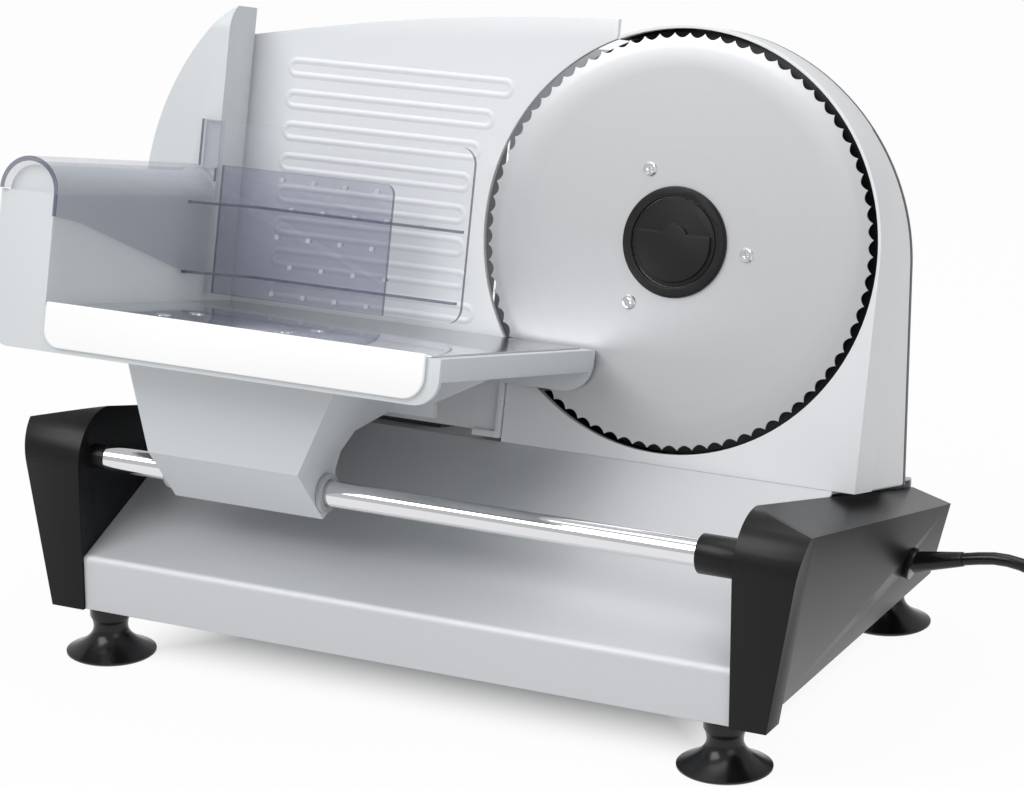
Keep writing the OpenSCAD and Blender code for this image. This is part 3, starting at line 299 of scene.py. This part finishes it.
def clear(name, colour, veil, pane_veil=None, pane_colour=None):
    """Clear plastic as a film, denser at a low angle, with a clearer pane where one is given."""
    s = Shader(name)
    s.material.surface_render_method = "BLENDED"
    ripple = s.noise(s.place(), RIPPLE_CELLS, 1.0)
    edge = s.node("ShaderNodeLayerWeight", None, {"Blend": 0.35}, "Facing")
    base, film = rgba(colour), veil
    if pane_veil is not None:
        pane = s.right_of(PANE_FROM_X) * (s.from_blade()[1] > PANE_FROM_V)
        base, film = s.blend(pane, base, rgba(pane_colour)), veil + (pane_veil - veil) * pane
    return s.finish(
        Base_Color=base,
        Roughness=0.06,
        IOR=1.49,
        Alpha=film + LOW_VEIL * edge**3.0,
        Normal=s.bump(ripple, 0.03),
    )


MATERIALS = {}


def material(name):
    """One of the finishes, made the first time it is asked for."""
    look = bpy.context.scene.slicer_looks
    makers = {
        # the housing's paint also carries painted shade, near black, in the recess behind the blade
        "housing paint": lambda n: painted(n, look.housing, 0.42, 0.0, gap_shade=True),
        "silver paint": lambda n: painted(n, look.silver, 0.52, 0.30, 0.10),
        "carriage plastic": lambda n: moulded(n, look.carriage, 0.45),
        "white plastic": lambda n: moulded(n, look.strip, 0.25, 0.04),
        "black plastic": lambda n: moulded(n, look.cap, 0.32, 0.12, 0.22),
        "hub plastic": lambda n: moulded(n, look.hub, 0.40, 0.10, 0.25),
        "rubber": lambda n: moulded(n, look.rubber, 0.22, 0.04, 0.35),
        "back plastic": lambda n: moulded(n, (92, 92, 95), 0.50),
        "dial plastic": lambda n: moulded(n, (226, 226, 224), 0.40),
        "switch red": lambda n: moulded(n, (150, 22, 18), 0.25, 0.03),
        "gear plastic": lambda n: moulded(n, (232, 228, 212), 0.45),
        "bushing plastic": lambda n: moulded(n, (168, 170, 173), 0.35),
        # painted highlight: bright white for the glints put inside the clear spikes
        "spike plastic": lambda n: moulded(n, (240, 241, 250), 0.15, 0.02),
        "blade steel": lambda n: ring_brushed(n, look.blade),
        "tray steel": lambda n: polished(n, (214, 216, 219), 0.12),
        "plain steel": lambda n: polished(n, (196, 198, 201), 0.30),
        "motor steel": lambda n: polished(n, (128, 130, 134), 0.40),
        "chrome": lambda n: polished(n, (226, 226, 228), 0.07),
        "brass": lambda n: polished(n, (214, 186, 118), 0.25),
        "clear plastic": lambda n: clear(n, look.film, 0.14, 0.04, look.clear),
        "edge plastic": lambda n: clear(n, look.edges, 0.75),
        "tinted plastic": lambda n: clear(n, look.tinted, 0.30),
    }
    if name not in MATERIALS:
        MATERIALS[name] = makers[name](name)
    return MATERIALS[name]


# Making pieces

# corners of a new mesh closer than this, in metres, are one, and edges shorter than this go
DOUBLES, SHORTEST = 1e-7, 1e-8
# the same for corners of a solid's own mesh
SOLID_DOUBLES = 2e-6
# angles in degrees: faces flatter than this are joined, an edge sharper than this stays sharp in
# a new mesh, one is eased, and one ends a smooth region
FLAT_ANGLE, SHARP_ANGLE, EASED_ANGLE, REGION_ANGLE = 1.0, 35.0, 28.0, 30.0
# regions narrower than this, in millimetres, count as the edge of a clear sheet
THIN_FACE = 2.6
SPUN_STEPS = 96


def add_piece(name, mesh, body, finish, *nodes, slot=None):
    """Links a mesh as a piece that rides on a body and stands for CAD nodes."""
    piece = bpy.data.objects.new(name, mesh)
    bpy.context.scene.collection.objects.link(piece)
    mesh.materials.clear()
    mesh.materials.append(material(finish))
    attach(piece, body)
    if nodes:
        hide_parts(*nodes)
    return piece


def grid_mesh(name, points, close_u=False, close_v=False, smooth=True):
    """A mesh over one or more grids of points, rows along u and columns along v."""
    rows, columns = points.shape[-3:-1]
    copies = points.size // (3 * rows * columns)
    number = np.arange(rows * columns).reshape(rows, columns)
    if close_u:
        number = np.vstack([number, number[:1]])
    if close_v:
        number = np.hstack([number, number[:, :1]])
    corners = [number[:-1, :-1], number[:-1, 1:], number[1:, 1:], number[1:, :-1]]
    faces = np.stack(corners, -1).reshape(-1, 4)
    faces = (np.arange(copies)[:, None, None] * rows * columns + faces).reshape(-1, 4)
    mesh = bpy.data.meshes.new(name)
    mesh.from_pydata(points.reshape(-1, 3).tolist(), [], faces.tolist())
    tidy_mesh(mesh, smooth)
    return mesh


def tidy_mesh(mesh, smooth):
    """Merges doubles, turns faces outwards and, where asked, shades smooth up to a sharp edge."""
    work = bmesh.new()
    work.from_mesh(mesh)
    bmesh.ops.remove_doubles(work, verts=work.verts, dist=DOUBLES)
    bmesh.ops.dissolve_degenerate(work, edges=work.edges, dist=SHORTEST)
    bmesh.ops.recalc_face_normals(work, faces=work.faces)
    work.to_mesh(mesh)
    work.free()
    if smooth:
        mesh.polygons.foreach_set("use_smooth", np.ones(len(mesh.polygons), bool))
        mesh.set_sharp_from_angle(angle=math.radians(SHARP_ANGLE))


def spun(name, profile, centre):
    """A profile of (radius, height) in millimetres spun about an upright line at a centre."""
    radius, height = (np.array(profile, float) * MM).T
    turn = np.linspace(0, 2 * np.pi, SPUN_STEPS, endpoint=False)[:, None]
    rings = np.broadcast_arrays(radius * np.cos(turn), radius * np.sin(turn), height)
    return grid_mesh(name, centre + np.stack(rings, -1), close_u=True, close_v=True)


def from_centre(corner):
    """A mesh corner in millimetres from the blade's centre."""
    return (np.array(corner.co) - BLADE_CENTRE) / MM


def thin_regions(work):
    """Faces of narrow smooth regions: twice a region's area over the length of its outline."""
    fold = math.radians(REGION_ANGLE)
    left, thin = set(work.faces), []
    while left:
        region = [left.pop()]
        for face in region:
            for edge in face.edges:
                smooth = edge.calc_face_angle(0.0) < fold
                joined = {f for f in edge.link_faces if smooth and f in left}
                left -= joined
                region.extend(joined)
        inside = set(region)
        rim = (e for f in region for e in f.edges if not inside.issuperset(e.link_faces))
        outline = sum(edge.calc_length() for edge in rim)
        if 2 * sum(face.calc_area() for face in region) < THIN_FACE * MM * outline:
            thin.extend(region)
    return thin


def eased(node, width, segments, finish, share=None, edges=None, strip=None):
    """The node's own solid with its sharp edges eased by a small radius.

    share gives an edge's part of the width from its two ends and whether it is convex, 0 in a seam.
    edges is a finish for the narrow faces, and strip takes forms off before the edges are eased.
    """
    sharp = math.radians(EASED_ANGLE)
    flat = math.radians(FLAT_ANGLE)
    mesh = frame["nodes"][node].data.copy()
    work = bmesh.new()
    work.from_mesh(mesh)
    bmesh.ops.remove_doubles(work, verts=work.verts, dist=SOLID_DOUBLES)
    bmesh.ops.dissolve_limit(work, angle_limit=flat, verts=work.verts, edges=work.edges)
    if strip:
        strip(work)
    if share:
        weight = work.edges.layers.float.new("bevel_weight_edge")
        for edge in work.edges:
            part = share([from_centre(corner) for corner in edge.verts], edge.is_convex)
            edge.smooth = part > 0.0
            edge[weight] = part if edge.calc_face_angle(0.0) > sharp else 0.0
    if edges:
        for face in thin_regions(work):
            face.material_index = 1
    work.to_mesh(mesh)
    work.free()
    # noted here, because add_piece clears the finishes and with them which face has which
    narrow = np.empty(len(mesh.polygons), np.int32)
    mesh.polygons.foreach_get("material_index", narrow)
    mesh.name = node + "_moulding"
    piece = add_piece(mesh.name, mesh, body_of(node), finish, node)
    if edges:
        mesh.materials.append(material(edges))
        mesh.polygons.foreach_set("material_index", narrow)
    ease = piece.modifiers.new("eased edges", "BEVEL")
    ease.width = width * MM
    ease.segments = segments
    ease.limit_method = "WEIGHT" if share else "ANGLE"
    ease.angle_limit = sharp
    ease.use_clamp_overlap = True
    ease.harden_normals = True
    mesh.polygons.foreach_set("use_smooth", np.ones(len(mesh.polygons), bool))
    return piece


def body_of(node):
    """Name of the body that a node belongs to."""
    bodies = frame["record"]["behaviour"]["bodies"]
    return next(body for body, nodes in bodies.items() if node in nodes)


def coat(finish, *nodes):
    """Gives carried-over solids a finish."""
    for node in nodes:
        piece = frame["nodes"][node]
        piece.data.materials.clear()
        piece.data.materials.append(material(finish))


# Settings


def swatch(label, words, value):
    """A colour setting held as 0 to 255 values."""
    return bpy.props.IntVectorProperty(
        name=label, description=words, default=value, min=0, max=255, size=3
    )


def length(label, words, value):
    """A length setting in metres."""
    return bpy.props.FloatProperty(
        name=label, description=words, default=value, min=0.0, precision=4, unit="LENGTH"
    )


class SlicerLooks(bpy.types.PropertyGroup):
    """Colours and sizes of the dressed slicer."""

    housing: swatch("Housing", "Paint of the housing and the stop plate", (222, 224, 226))
    silver: swatch("Base", "Silver paint of the base", (206, 208, 211))
    carriage: swatch("Carriage", "Plastic of the carriage", (206, 210, 212))
    strip: swatch("Strip", "White strip along the tray", (246, 246, 246))
    cap: swatch("Caps", "Black end caps", (20, 20, 22))
    hub: swatch("Hub", "Black hub of the blade", (24, 24, 25))
    rubber: swatch("Rubber", "Suction feet and cord", (16, 16, 17))
    blade: swatch("Blade", "Steel of the blade", (198, 199, 201))
    clear: swatch("Clear", "Clear pane of the pusher", (206, 210, 228))
    film: swatch("Film", "Handle and leg of the pusher", (140, 143, 164))
    edges: swatch("Edges", "Cut edges of the clear plastic", (70, 74, 98))
    tinted: swatch("Tinted", "Clear plastic of the spike plate", (128, 131, 158))
    blade_radius: length("Blade radius", "Outside radius of the blade", 0.095)
    tooth_depth: length("Tooth depth", "Depth of each wave of the blade's edge", 0.0023)


# Camera and cord, which come first

# the camera's place in millimetres from the blade, its lens and sensor in millimetres, its turn
# in degrees, and the nearest thing it sees, in metres
CAMERA_FROM_BLADE = (609.2, -1395.4, 386.4)
CAMERA_LENS, CAMERA_SENSOR = 121.2, 36.0
CAMERA_TURN = (73.23, 0.0, 26.39)
CAMERA_NEAR = 0.05
# soft boxes: place and side in metres, power in watts, and the point they all look at
LAMPS = (
    ("key", (-0.9, -1.4, 1.7), 1.3, 26.0),
    ("fill", (1.6, -1.0, 0.9), 1.2, 5.0),
    ("top", (0.1, 0.2, 1.9), 1.5, 14.0),
)
LAMP_AIM = (0.0, 0.0, 0.14)
# even light of the world, and the share of plain white that reflections see in it
SOFT_COLOUR, SOFT_STRENGTH = (0.98, 0.985, 1.0, 1.0), 0.50
MIRRORED_WHITE = 0.25
WHITE = (1.0, 1.0, 1.0, 1.0)
# the floor's rings and height in metres, and its own colour
FLOOR_SIDES = 64
FLOOR_RINGS = np.array([0.0, 1.0, 3.0, 9.0])
FLOOR_Z = -0.0002
FLOOR_COLOUR = (0.75, 0.75, 0.75, 1.0)
# footprint of the base in metres, how far in from its edge the floor starts to show its shade,
# and how much of the open floor is plain white
FOOT_CENTRE = (-0.0055, 0.0145)
FOOT_HALF = (0.162, 0.1095)
SHADE_IN = (-0.075, 0.0)
OPEN_WHITE = 0.95


class AddStage(bpy.types.Operator):
    """Camera at the photograph's angle, a pale floor and soft studio light"""

    bl_idname = "slicer.stage"
    bl_label = "Stage"

    def execute(self, context):
        scene = context.scene
        data = bpy.data.cameras.new("camera")
        data.sensor_width = CAMERA_SENSOR
        data.lens = CAMERA_LENS
        data.clip_start = CAMERA_NEAR
        camera = bpy.data.objects.new("camera", data)
        scene.collection.objects.link(camera)
        camera.location = BLADE_CENTRE + np.array(CAMERA_FROM_BLADE) * MM
        camera.rotation_euler = tuple(math.radians(a) for a in CAMERA_TURN)
        scene.camera = camera
        scene.view_settings.view_transform = "Standard"
        add_floor()
        add_world(scene)
        for settings in LAMPS:
            lamp(*settings)
        return {"FINISHED"}


def add_floor():
    """A wide pale disc at the table's height, white of its own away from the footprint."""
    turn = np.linspace(0, 2 * np.pi, FLOOR_SIDES, endpoint=False)[:, None]
    rings = np.broadcast_arrays(np.cos(turn) * FLOOR_RINGS, np.sin(turn) * FLOOR_RINGS, FLOOR_Z)
    mesh = grid_mesh("floor", np.stack(rings, -1), close_u=True, smooth=False)
    floor = bpy.data.objects.new("floor", mesh)
    bpy.context.scene.collection.objects.link(floor)
    s = Shader("floor white")
    past_x, past_y = (
        (s.axis(letter) - middle).size() - half
        for letter, middle, half in zip("XY", FOOT_CENTRE, FOOT_HALF)
    )
    open_floor = s.node("ShaderNodeMapRange", {"interpolation_type": "SMOOTHSTEP"}, {
        "Value": past_x.or_more(past_y), "From Min": SHADE_IN[0], "From Max": SHADE_IN[1],
        "To Min": 0.0, "To Max": OPEN_WHITE,
    })
    matt = s.node("ShaderNodeBsdfDiffuse", None, {"Color": FLOOR_COLOUR})
    glow = s.node("ShaderNodeEmission", None, {"Color": WHITE, "Strength": 1.0})
    mix = s.node("ShaderNodeMixShader", None, [s.looked_at() * open_floor, matt, glow])
    s.node("ShaderNodeOutputMaterial", None, {"Surface": mix})
    mesh.materials.append(s.material)


def add_world(scene):
    """Even soft light, and plain white for rays that look past the floor."""
    world = bpy.data.worlds.new("studio")
    scene.world = world
    s = Shader("studio", world)
    soft, plain = (
        s.node("ShaderNodeBackground", None, {"Color": colour, "Strength": strength})
        for colour, strength in ((SOFT_COLOUR, SOFT_STRENGTH), (WHITE, 1.0))
    )
    mix = s.node("ShaderNodeMixShader", None, [s.looked_at(MIRRORED_WHITE), soft, plain])
    s.node("ShaderNodeOutputWorld", None, {"Surface": mix})


def lamp(name, place, size, power):
    """A square soft box that looks at the middle of the object."""
    data = bpy.data.lights.new(name, "AREA")
    data.energy = power
    data.size = size
    lit = bpy.data.objects.new(name, data)
    bpy.context.scene.collection.objects.link(lit)
    lit.location = place
    aim = Vector(LAMP_AIM) - Vector(place)
    lit.rotation_euler = aim.to_track_quat("-Z", "Y").to_euler()


# the cord's diameter, and the strain relief's rise in degrees, its reach, and its foot from the
# blade's centre
CORD_D = 6.0
RELIEF_RISE = 12.0
RELIEF_REACH = 27.0
GLAND_FROM_BLADE = (103.445, 38.0, -150.0)
# points of the free run in the shared frame, and the points that the curve takes for each
ROUTE = [
    (213, 81, 52.4), (226, 81, 51.5), (238, 82, 46.5), (248, 83, 38.5), (257, 84.5, 29),
    (266, 86, 19.5), (277, 88, 11), (290, 90, 5.5), (303, 91.8, 3.2),
]
ROUTE_STEPS = 2
# the coil's centre, its outside radius, the pitch of its turns, the height of its second layer,
# the turns in a layer, the part of a turn that climbs, and the points in a turn
COIL_AT = (318.0, 135.0, 3.1)
COIL_R = 43.0
COIL_PITCH = 7.4
COIL_RISE = 7.0
COIL_LAYER = 2.5
COIL_CLIMB = 0.5
COIL_RINGS = 24


def coil_points():
    """A spiral in on the floor, a climb in half a turn, and the same spiral out on top."""
    turns = 2 * COIL_LAYER + COIL_CLIMB
    t = np.arange(int(turns * COIL_RINGS) + 1) / COIL_RINGS
    inner = COIL_R - COIL_PITCH * COIL_LAYER
    out = inner + COIL_PITCH * (t - COIL_LAYER - COIL_CLIMB)
    r = np.where(t < COIL_LAYER, COIL_R - COIL_PITCH * t, np.maximum(inner, out))
    z = COIL_RISE * np.clip((t - COIL_LAYER) / COIL_CLIMB, 0, 1)
    a = 2 * np.pi * t - np.pi / 2
    return np.array(COIL_AT) + np.stack([r * np.cos(a), r * np.sin(a), z], -1)


def relief_tip():
    """End of the strain relief, in millimetres of the shared frame."""
    rise = math.radians(RELIEF_RISE)
    reach = np.array([math.cos(rise), 0.0, math.sin(rise)]) * RELIEF_REACH
    return BLADE_CENTRE / MM + np.array(GLAND_FROM_BLADE) + reach


def smooth_through(points):
    """A curve through the points whose tangent at each is half the step between its neighbours."""
    p = np.array(points, float)
    tangent = np.gradient(p, axis=0)
    t = (np.arange(ROUTE_STEPS) / ROUTE_STEPS)[:, None, None]
    a, b, ta, tb = p[:-1], p[1:], tangent[:-1], tangent[1:]
    h = (2 * t**3 - 3 * t**2 + 1) * a + (t**3 - 2 * t**2 + t) * ta
    h = h + (-2 * t**3 + 3 * t**2) * b + (t**3 - t**2) * tb
    return np.vstack([np.swapaxes(h, 0, 1).reshape(-1, 3), p[-1:]])


class AddCord(bpy.types.Operator):
    """Mains cord from the strain relief to its coil and plug"""

    bl_idname = "slicer.cord"
    bl_label = "Cord"

    def execute(self, context):
        coil = coil_points()
        start = np.array(COIL_AT) + (-CORD_D, -COIL_R, 0.0)
        end = np.array(COIL_AT) + (-CORD_D, COIL_R, COIL_RISE)
        free = smooth_through([relief_tip(), *ROUTE, start, coil[0]])[:-1]
        path = np.vstack([free, coil, end]) * MM
        data = bpy.data.curves.new("cord_line", "CURVE")
        data.dimensions = "3D"
        line = data.splines.new("POLY")
        line.points.add(len(path) - 1)
        line.points.foreach_set("co", np.hstack([path, np.ones((len(path), 1))]).ravel())
        data.bevel_depth = CORD_D / 2 * MM
        data.bevel_resolution = 4
        data.use_fill_caps = True
        data.materials.append(material("rubber"))
        flex = bpy.data.objects.new("mains_cord", data)
        context.scene.collection.objects.link(flex)
        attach(flex, "base")
        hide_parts("cord", "cord_coil")
        plug = eased("plug", 1.2, 3, "black plastic")
        return {"FINISHED"}


# the blade's teeth, the points on each, and how round they are
TEETH, TOOTH_POINTS, TOOTH_ROUND = 80, 14, 0.8
# radius of its hole, width of its bevel, depth of its front face, its thickness, and how much of
# that is left at the edge
BLADE_HOLE, BEVEL, FACE_V, BLADE_THICK, EDGE_THICK = 24.0, 7.0, -1.2, 1.5, 0.25
# rings of the flat face, and places of the bevel's rings between its start and the edge
FACE_RINGS = 8
BEVEL_RINGS = np.array([0.5, 0.85, 1.0])


class AddBlade(bpy.types.Operator):
    """Toothed blade with its ground bevel, its screws and its hub

    The rim's radius is R - d |cos(n a / 2)|^0.8 at an angle a, and it cuts the bevel, a cone.
    """

    bl_idname = "slicer.blade"
    bl_label = "Blade"

    def execute(self, context):
        look = context.scene.slicer_looks
        outside, tooth = look.blade_radius / MM, look.tooth_depth / MM
        turn = np.linspace(0, 2 * np.pi, TEETH * TOOTH_POINTS, endpoint=False)[:, None]
        rim = outside - tooth * np.abs(np.cos(turn * TEETH / 2)) ** TOOTH_ROUND
        edge = outside - BEVEL
        flat = np.tile(np.linspace(BLADE_HOLE, edge, FACE_RINGS), (len(turn), 1))
        front = np.hstack([flat, edge + BEVEL_RINGS * (rim - edge)])
        front_v = FACE_V + np.maximum(front - edge, 0) / BEVEL * (BLADE_THICK - EDGE_THICK)
        radius = np.hstack([front, rim, np.full_like(turn, BLADE_HOLE)])
        depth = np.hstack([front_v, np.full((len(turn), 2), FACE_V + BLADE_THICK)])
        points = leaning(radius * np.cos(turn), depth, radius * np.sin(turn))
        mesh = grid_mesh("blade_disc", points, close_u=True, close_v=True)
        add_piece("blade_disc", mesh, "blade_unit", "blade steel", "blade")
        eased("hub_ring", 0.6, 3, "hub plastic")
        eased("lock_knob", 0.4, 3, "hub plastic")
        eased("blade_screws", 0.12, 2, "chrome")
        coat("gear plastic", "blade_gear")
        coat("brass", "motor_pinion")
        return {"FINISHED"}


# where the housing's two parts meet: behind its front wall, and above its crown
SEAM_V = 22.5
SEAM_W = 60.0
# places closer than this count as the same
NEAR = 0.03
# slots of the stop plate: the top row, their pitch and number
RIB_TOP, RIB_PITCH, RIB_COUNT = 61.5, 15.2, 8
# a slot's left end, the circle round the blade at its right end, the radius of its rib's middle
# line, and of the outside of the solid's sharp rib
RIB_LEFT, RIB_ARC, RIB_MIDDLE, RIB_OUTER = -205.0, 112.0, 3.4, 4.0
# half width and height of the soft rib, how far it is sunk in, and a place right of all ribs
RIB_HALF_WIDTH, RIB_HEIGHT, RIB_SUNK, RIB_RIGHT = 2.3, 0.5, 0.08, -80.0
# points round each half circle, and across the rib
RIB_POINTS, RIB_ACROSS = 19, 11


def housing_share(ends, convex):
    """All edges alike, but none where the two parts of the housing meet."""
    behind = all(abs(p @ INTO - SEAM_V) < NEAR for p in ends)
    crown = all(abs(p @ UP - SEAM_W) < NEAR and p @ INTO > SEAM_V - NEAR for p in ends)
    return 0.0 if behind or crown else 1.0


def without_ribs(work):
    """Takes the sharp ribs off the front of the stop plate and closes the plate behind them."""
    rows = RIB_TOP - RIB_PITCH * np.arange(RIB_COUNT)
    gone = []
    for face in work.faces:
        p = np.array([from_centre(corner) for corner in face.verts])
        reach = np.abs((p @ UP)[:, None] - rows).max(axis=0).min()
        in_front = (p @ INTO).max() < NEAR
        if reach < RIB_OUTER + NEAR and in_front and p[:, 0].max() < RIB_RIGHT:
            gone.append(face)
    bmesh.ops.delete(work, geom=gone, context="FACES")
    bmesh.ops.holes_fill(work, edges=[e for e in work.edges if e.is_boundary], sides=0)
    bmesh.ops.recalc_face_normals(work, faces=work.faces)


def add_ribs():
    """Soft ribs of the stop plate: a raised cosine carried round eight long rounded slots.

    The slot's outline is two half circles joined by straights, its right end follows the blade, and
    the height over the plate is H cos^2(pi s / 2W) at a distance s from the outline's middle line.
    """
    row = RIB_TOP - RIB_PITCH * np.arange(RIB_COUNT)[:, None, None]
    halves = [np.linspace(-90, 90, RIB_POINTS), np.linspace(90, 270, RIB_POINTS)]
    angle = np.radians(np.concatenate(halves))[:, None]
    right = (np.arange(2 * RIB_POINTS) < RIB_POINTS)[:, None]
    step = np.linspace(-1, 1, RIB_ACROSS)[None, :]
    end = np.where(right, -np.sqrt(RIB_ARC**2 - row**2), RIB_LEFT)
    radius = RIB_MIDDLE + RIB_HALF_WIDTH * step
    height = RIB_SUNK - RIB_HEIGHT * np.cos(np.pi * step / 2) ** 2
    points = leaning(end + radius * np.cos(angle), height, row + radius * np.sin(angle))
    mesh = grid_mesh("stop_plate_ribs", points, close_u=True, close_v=True)
    add_piece("stop_plate_ribs", mesh, "stop_plate", "housing paint", slot="fence")


class AddHousing(bpy.types.Operator):
    """Housing, back panel, stop plate and what stands behind it"""

    bl_idname = "slicer.housing"
    bl_label = "Housing"

    def execute(self, context):
        eased("housing_shell", 1.6, 4, "housing paint", share=housing_share)
        eased("housing_band", 1.6, 4, "housing paint", share=housing_share)
        eased("fence", 0.6, 3, "housing paint", strip=without_ribs)
        add_ribs()
        eased("rear_cover", 1.0, 3, "back plastic")
        eased("dial_post", 2.0, 4, "back plastic")
        eased("thickness_knob", 0.6, 2, "black plastic")
        eased("switch_frame", 0.5, 2, "black plastic")
        eased("rocker", 0.6, 3, "switch red")
        coat("dial plastic", "dial_plate", "terminal_block")
        coat("plain steel", "gear_plate", "spindle", "motor_clamp", "knob_shaft", "fence_bracket")
        coat("chrome", "guide_rods")
        coat("motor steel", "motor")
        return {"FINISHED"}


# from the blade's centre: height of the fold along the base's front, height of the base's low
# edge, and the caps' inner walls; then how close a place must be to count as on one
FOLD_Z, FOLD_NEAR = -145.5, 0.5
BASE_LOW = -171.0
CAP_INNER, CAP_NEAR = (-236.4, 88.0), 1.0
# part of the width that the lesser edges of the base and the caps get
LESSER = 0.2


def pan_share(ends, convex):
    """The fold along the front is wide and soft, and the cut edges of the sheet are only broken."""
    fold = all(abs(p[2] - FOLD_Z) < FOLD_NEAR for p in ends)
    return 1.0 if convex and fold else LESSER


def cap_share(ends, convex):
    """The outer corners of a cap are well rounded, and its rim and hollow only a little."""
    high = all(p[2] > BASE_LOW + CAP_NEAR for p in ends)
    outer = all(abs(p[0] - x) > CAP_NEAR for p in ends for x in CAP_INNER)
    return 1.0 if convex and high and outer else LESSER


class AddBase(bpy.types.Operator):
    """Sloped base with its end caps, rail and suction feet"""

    bl_idname = "slicer.base"
    bl_label = "Base"

    def execute(self, context):
        eased("base_pan", 3.0, 5, "silver paint", share=pan_share)
        eased("cap_left", 4.0, 5, "black plastic", share=cap_share)
        eased("cap_right", 4.0, 5, "black plastic", share=cap_share)
        eased("socket_left", 0.6, 3, "black plastic")
        eased("socket_right", 0.6, 3, "black plastic")
        eased("cord_gland", 0.5, 3, "rubber")
        coat("plain steel", "bottom_plate")
        coat("chrome", "rod", "base_screws")
        for node in ("foot_front_left", "foot_front_right", "foot_rear_left", "foot_rear_right"):
            add_foot(node)
        return {"FINISHED"}


# a suction cup: how far its top is below the node's, the neck's radius and the height where it
# ends, the radius where the skirt starts, and the height of the lip
CUP_DROP = 5.0
NECK_R, NECK_LOW = 9.5, 13.5
SKIRT_FROM, LIP_HEIGHT = 8.0, 1.6


def add_foot(node):
    """A suction cup on its neck: flared skirt, thin lip and hollow underside, spun about Z.

    The skirt's radius grows with s^1.6 and its height falls with s^0.75, s from 0 to 1.
    """
    low, high = (np.array(c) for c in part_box(node))
    r = (high[0] - low[0]) / 2 / MM
    top = (high[2] - low[2]) / MM - CUP_DROP
    flare = np.linspace(0, 1, 12)
    skirt_r = SKIRT_FROM + (r - SKIRT_FROM) * flare**1.6
    skirt_h = NECK_LOW - (NECK_LOW - LIP_HEIGHT) * flare**0.75
    profile = [
        (0.01, top), (2.4, top), (2.4, top - 0.01),
        (NECK_R - 0.8, top - 0.02), (NECK_R, top - 0.8), (NECK_R, NECK_LOW + 5),
        (NECK_R - 1.0, NECK_LOW + 3), *zip(skirt_r, skirt_h),
        (r, 0.8), (r - 1, 0.0), (r - 2, 0.0), (12, 3.6), (6, 6.0), (0.01, 6.0),
    ]
    centre = np.array([(low[0] + high[0]) / 2, (low[1] + high[1]) / 2, low[2]])
    mesh = spun(node + "_cup", profile, centre)
    add_piece(node + "_cup", mesh, "base", "rubber", node)


class AddCarriage(bpy.types.Operator):
    """Food carriage with its tray, hand guard, white strip and arm"""

    bl_idname = "slicer.carriage"
    bl_label = "Carriage"

    def execute(self, context):
        eased("carriage_tray", 0.9, 3, "carriage plastic")
        eased("carriage_guard", 1.1, 4, "carriage plastic")
        eased("front_strip", 0.7, 3, "white plastic")
        eased("carriage_arm", 1.3, 4, "carriage plastic")
        eased("bushings", 0.4, 2, "bushing plastic")
        eased("steel_insert", 0.25, 2, "tray steel")
        coat("black plastic", "glide_leg")
        coat("chrome", "arm_screws")
        return {"FINISHED"}


# the spikes: the first one's place along and up, the steps between them, the depth where the
# painted highlights in them start, how many stand in a row, and each row's shift as part of a step
SPIKE_LEFT, SPIKE_TOP = -193.2, 8.0
SPIKE_PITCH, SPIKE_RISE = 17.0, 13.5
SPIKE_GLINT_FROM = -25.2
SPIKES_IN_ROW = 4
SPIKE_SHIFT = np.array([0.0, 0.38, 0.0, 0.5, 0.0])
# a painted highlight's outline as (radius, depth), and the sides of its cone
SPIKE_GLINT = np.array([(0.01, 0.0), (1.2, 0.0), (0.5, 3.2), (0.01, 3.2)])
SPIKE_SIDES = 10


def add_spike_glints():
    """Painted highlights of the spikes: bright slim cones spun about the line into the machine at
    each spike.
    """
    row, number = np.divmod(np.arange(SPIKES_IN_ROW * len(SPIKE_SHIFT)), SPIKES_IN_ROW)
    x = (SPIKE_LEFT + (number + SPIKE_SHIFT[row]) * SPIKE_PITCH)[:, None, None]
    w = (SPIKE_TOP - row * SPIKE_RISE)[:, None, None]
    turn = np.linspace(0, 2 * np.pi, SPIKE_SIDES, endpoint=False)[:, None]
    radius, depth = SPIKE_GLINT.T
    points = leaning(x + radius * np.cos(turn), SPIKE_GLINT_FROM + depth, w + radius * np.sin(turn))
    mesh = grid_mesh("spike_glints", points, close_u=True, close_v=True)
    add_piece("spike_glints", mesh, "pusher_unit", "spike plastic", slot="spike_plate")


class AddPusher(bpy.types.Operator):
    """Clear pusher with its tinted spike plate"""

    bl_idname = "slicer.pusher"
    bl_label = "Pusher"

    def execute(self, context):
        eased("pusher", 0.5, 3, "clear plastic", edges="edge plastic")
        eased("spike_plate", 0.3, 2, "tinted plastic", edges="edge plastic")
        add_spike_glints()
        return {"FINISHED"}


class SlicerPanel(bpy.types.Panel):
    """Lists the settings and the makers of the slicer"""

    bl_idname = "SLICER_PT_looks"
    bl_label = "Food slicer"
    bl_space_type = "VIEW_3D"
    bl_region_type = "UI"
    bl_category = "Slicer"

    def draw(self, context):
        look = context.scene.slicer_looks
        for key in SlicerLooks.__annotations__:
            self.layout.prop(look, key)
        for maker in MAKERS:
            self.layout.operator(maker.bl_idname)


MAKERS = (AddStage, AddCord, AddBlade, AddHousing, AddBase, AddCarriage, AddPusher)


def register():
    for kind in (SlicerLooks, *MAKERS, SlicerPanel):
        bpy.utils.register_class(kind)
    bpy.types.Scene.slicer_looks = bpy.props.PointerProperty(type=SlicerLooks)


def unregister():
    del bpy.types.Scene.slicer_looks
    for kind in reversed((SlicerLooks, *MAKERS, SlicerPanel)):
        bpy.utils.unregister_class(kind)


def main():
    """Makes every piece in order."""
    register()
    bpy.ops.slicer.stage()
    bpy.ops.slicer.cord()
    bpy.ops.slicer.blade()
    bpy.ops.slicer.housing()
    bpy.ops.slicer.base()
    bpy.ops.slicer.carriage()
    bpy.ops.slicer.pusher()


if __name__ == "__main__":
    main()
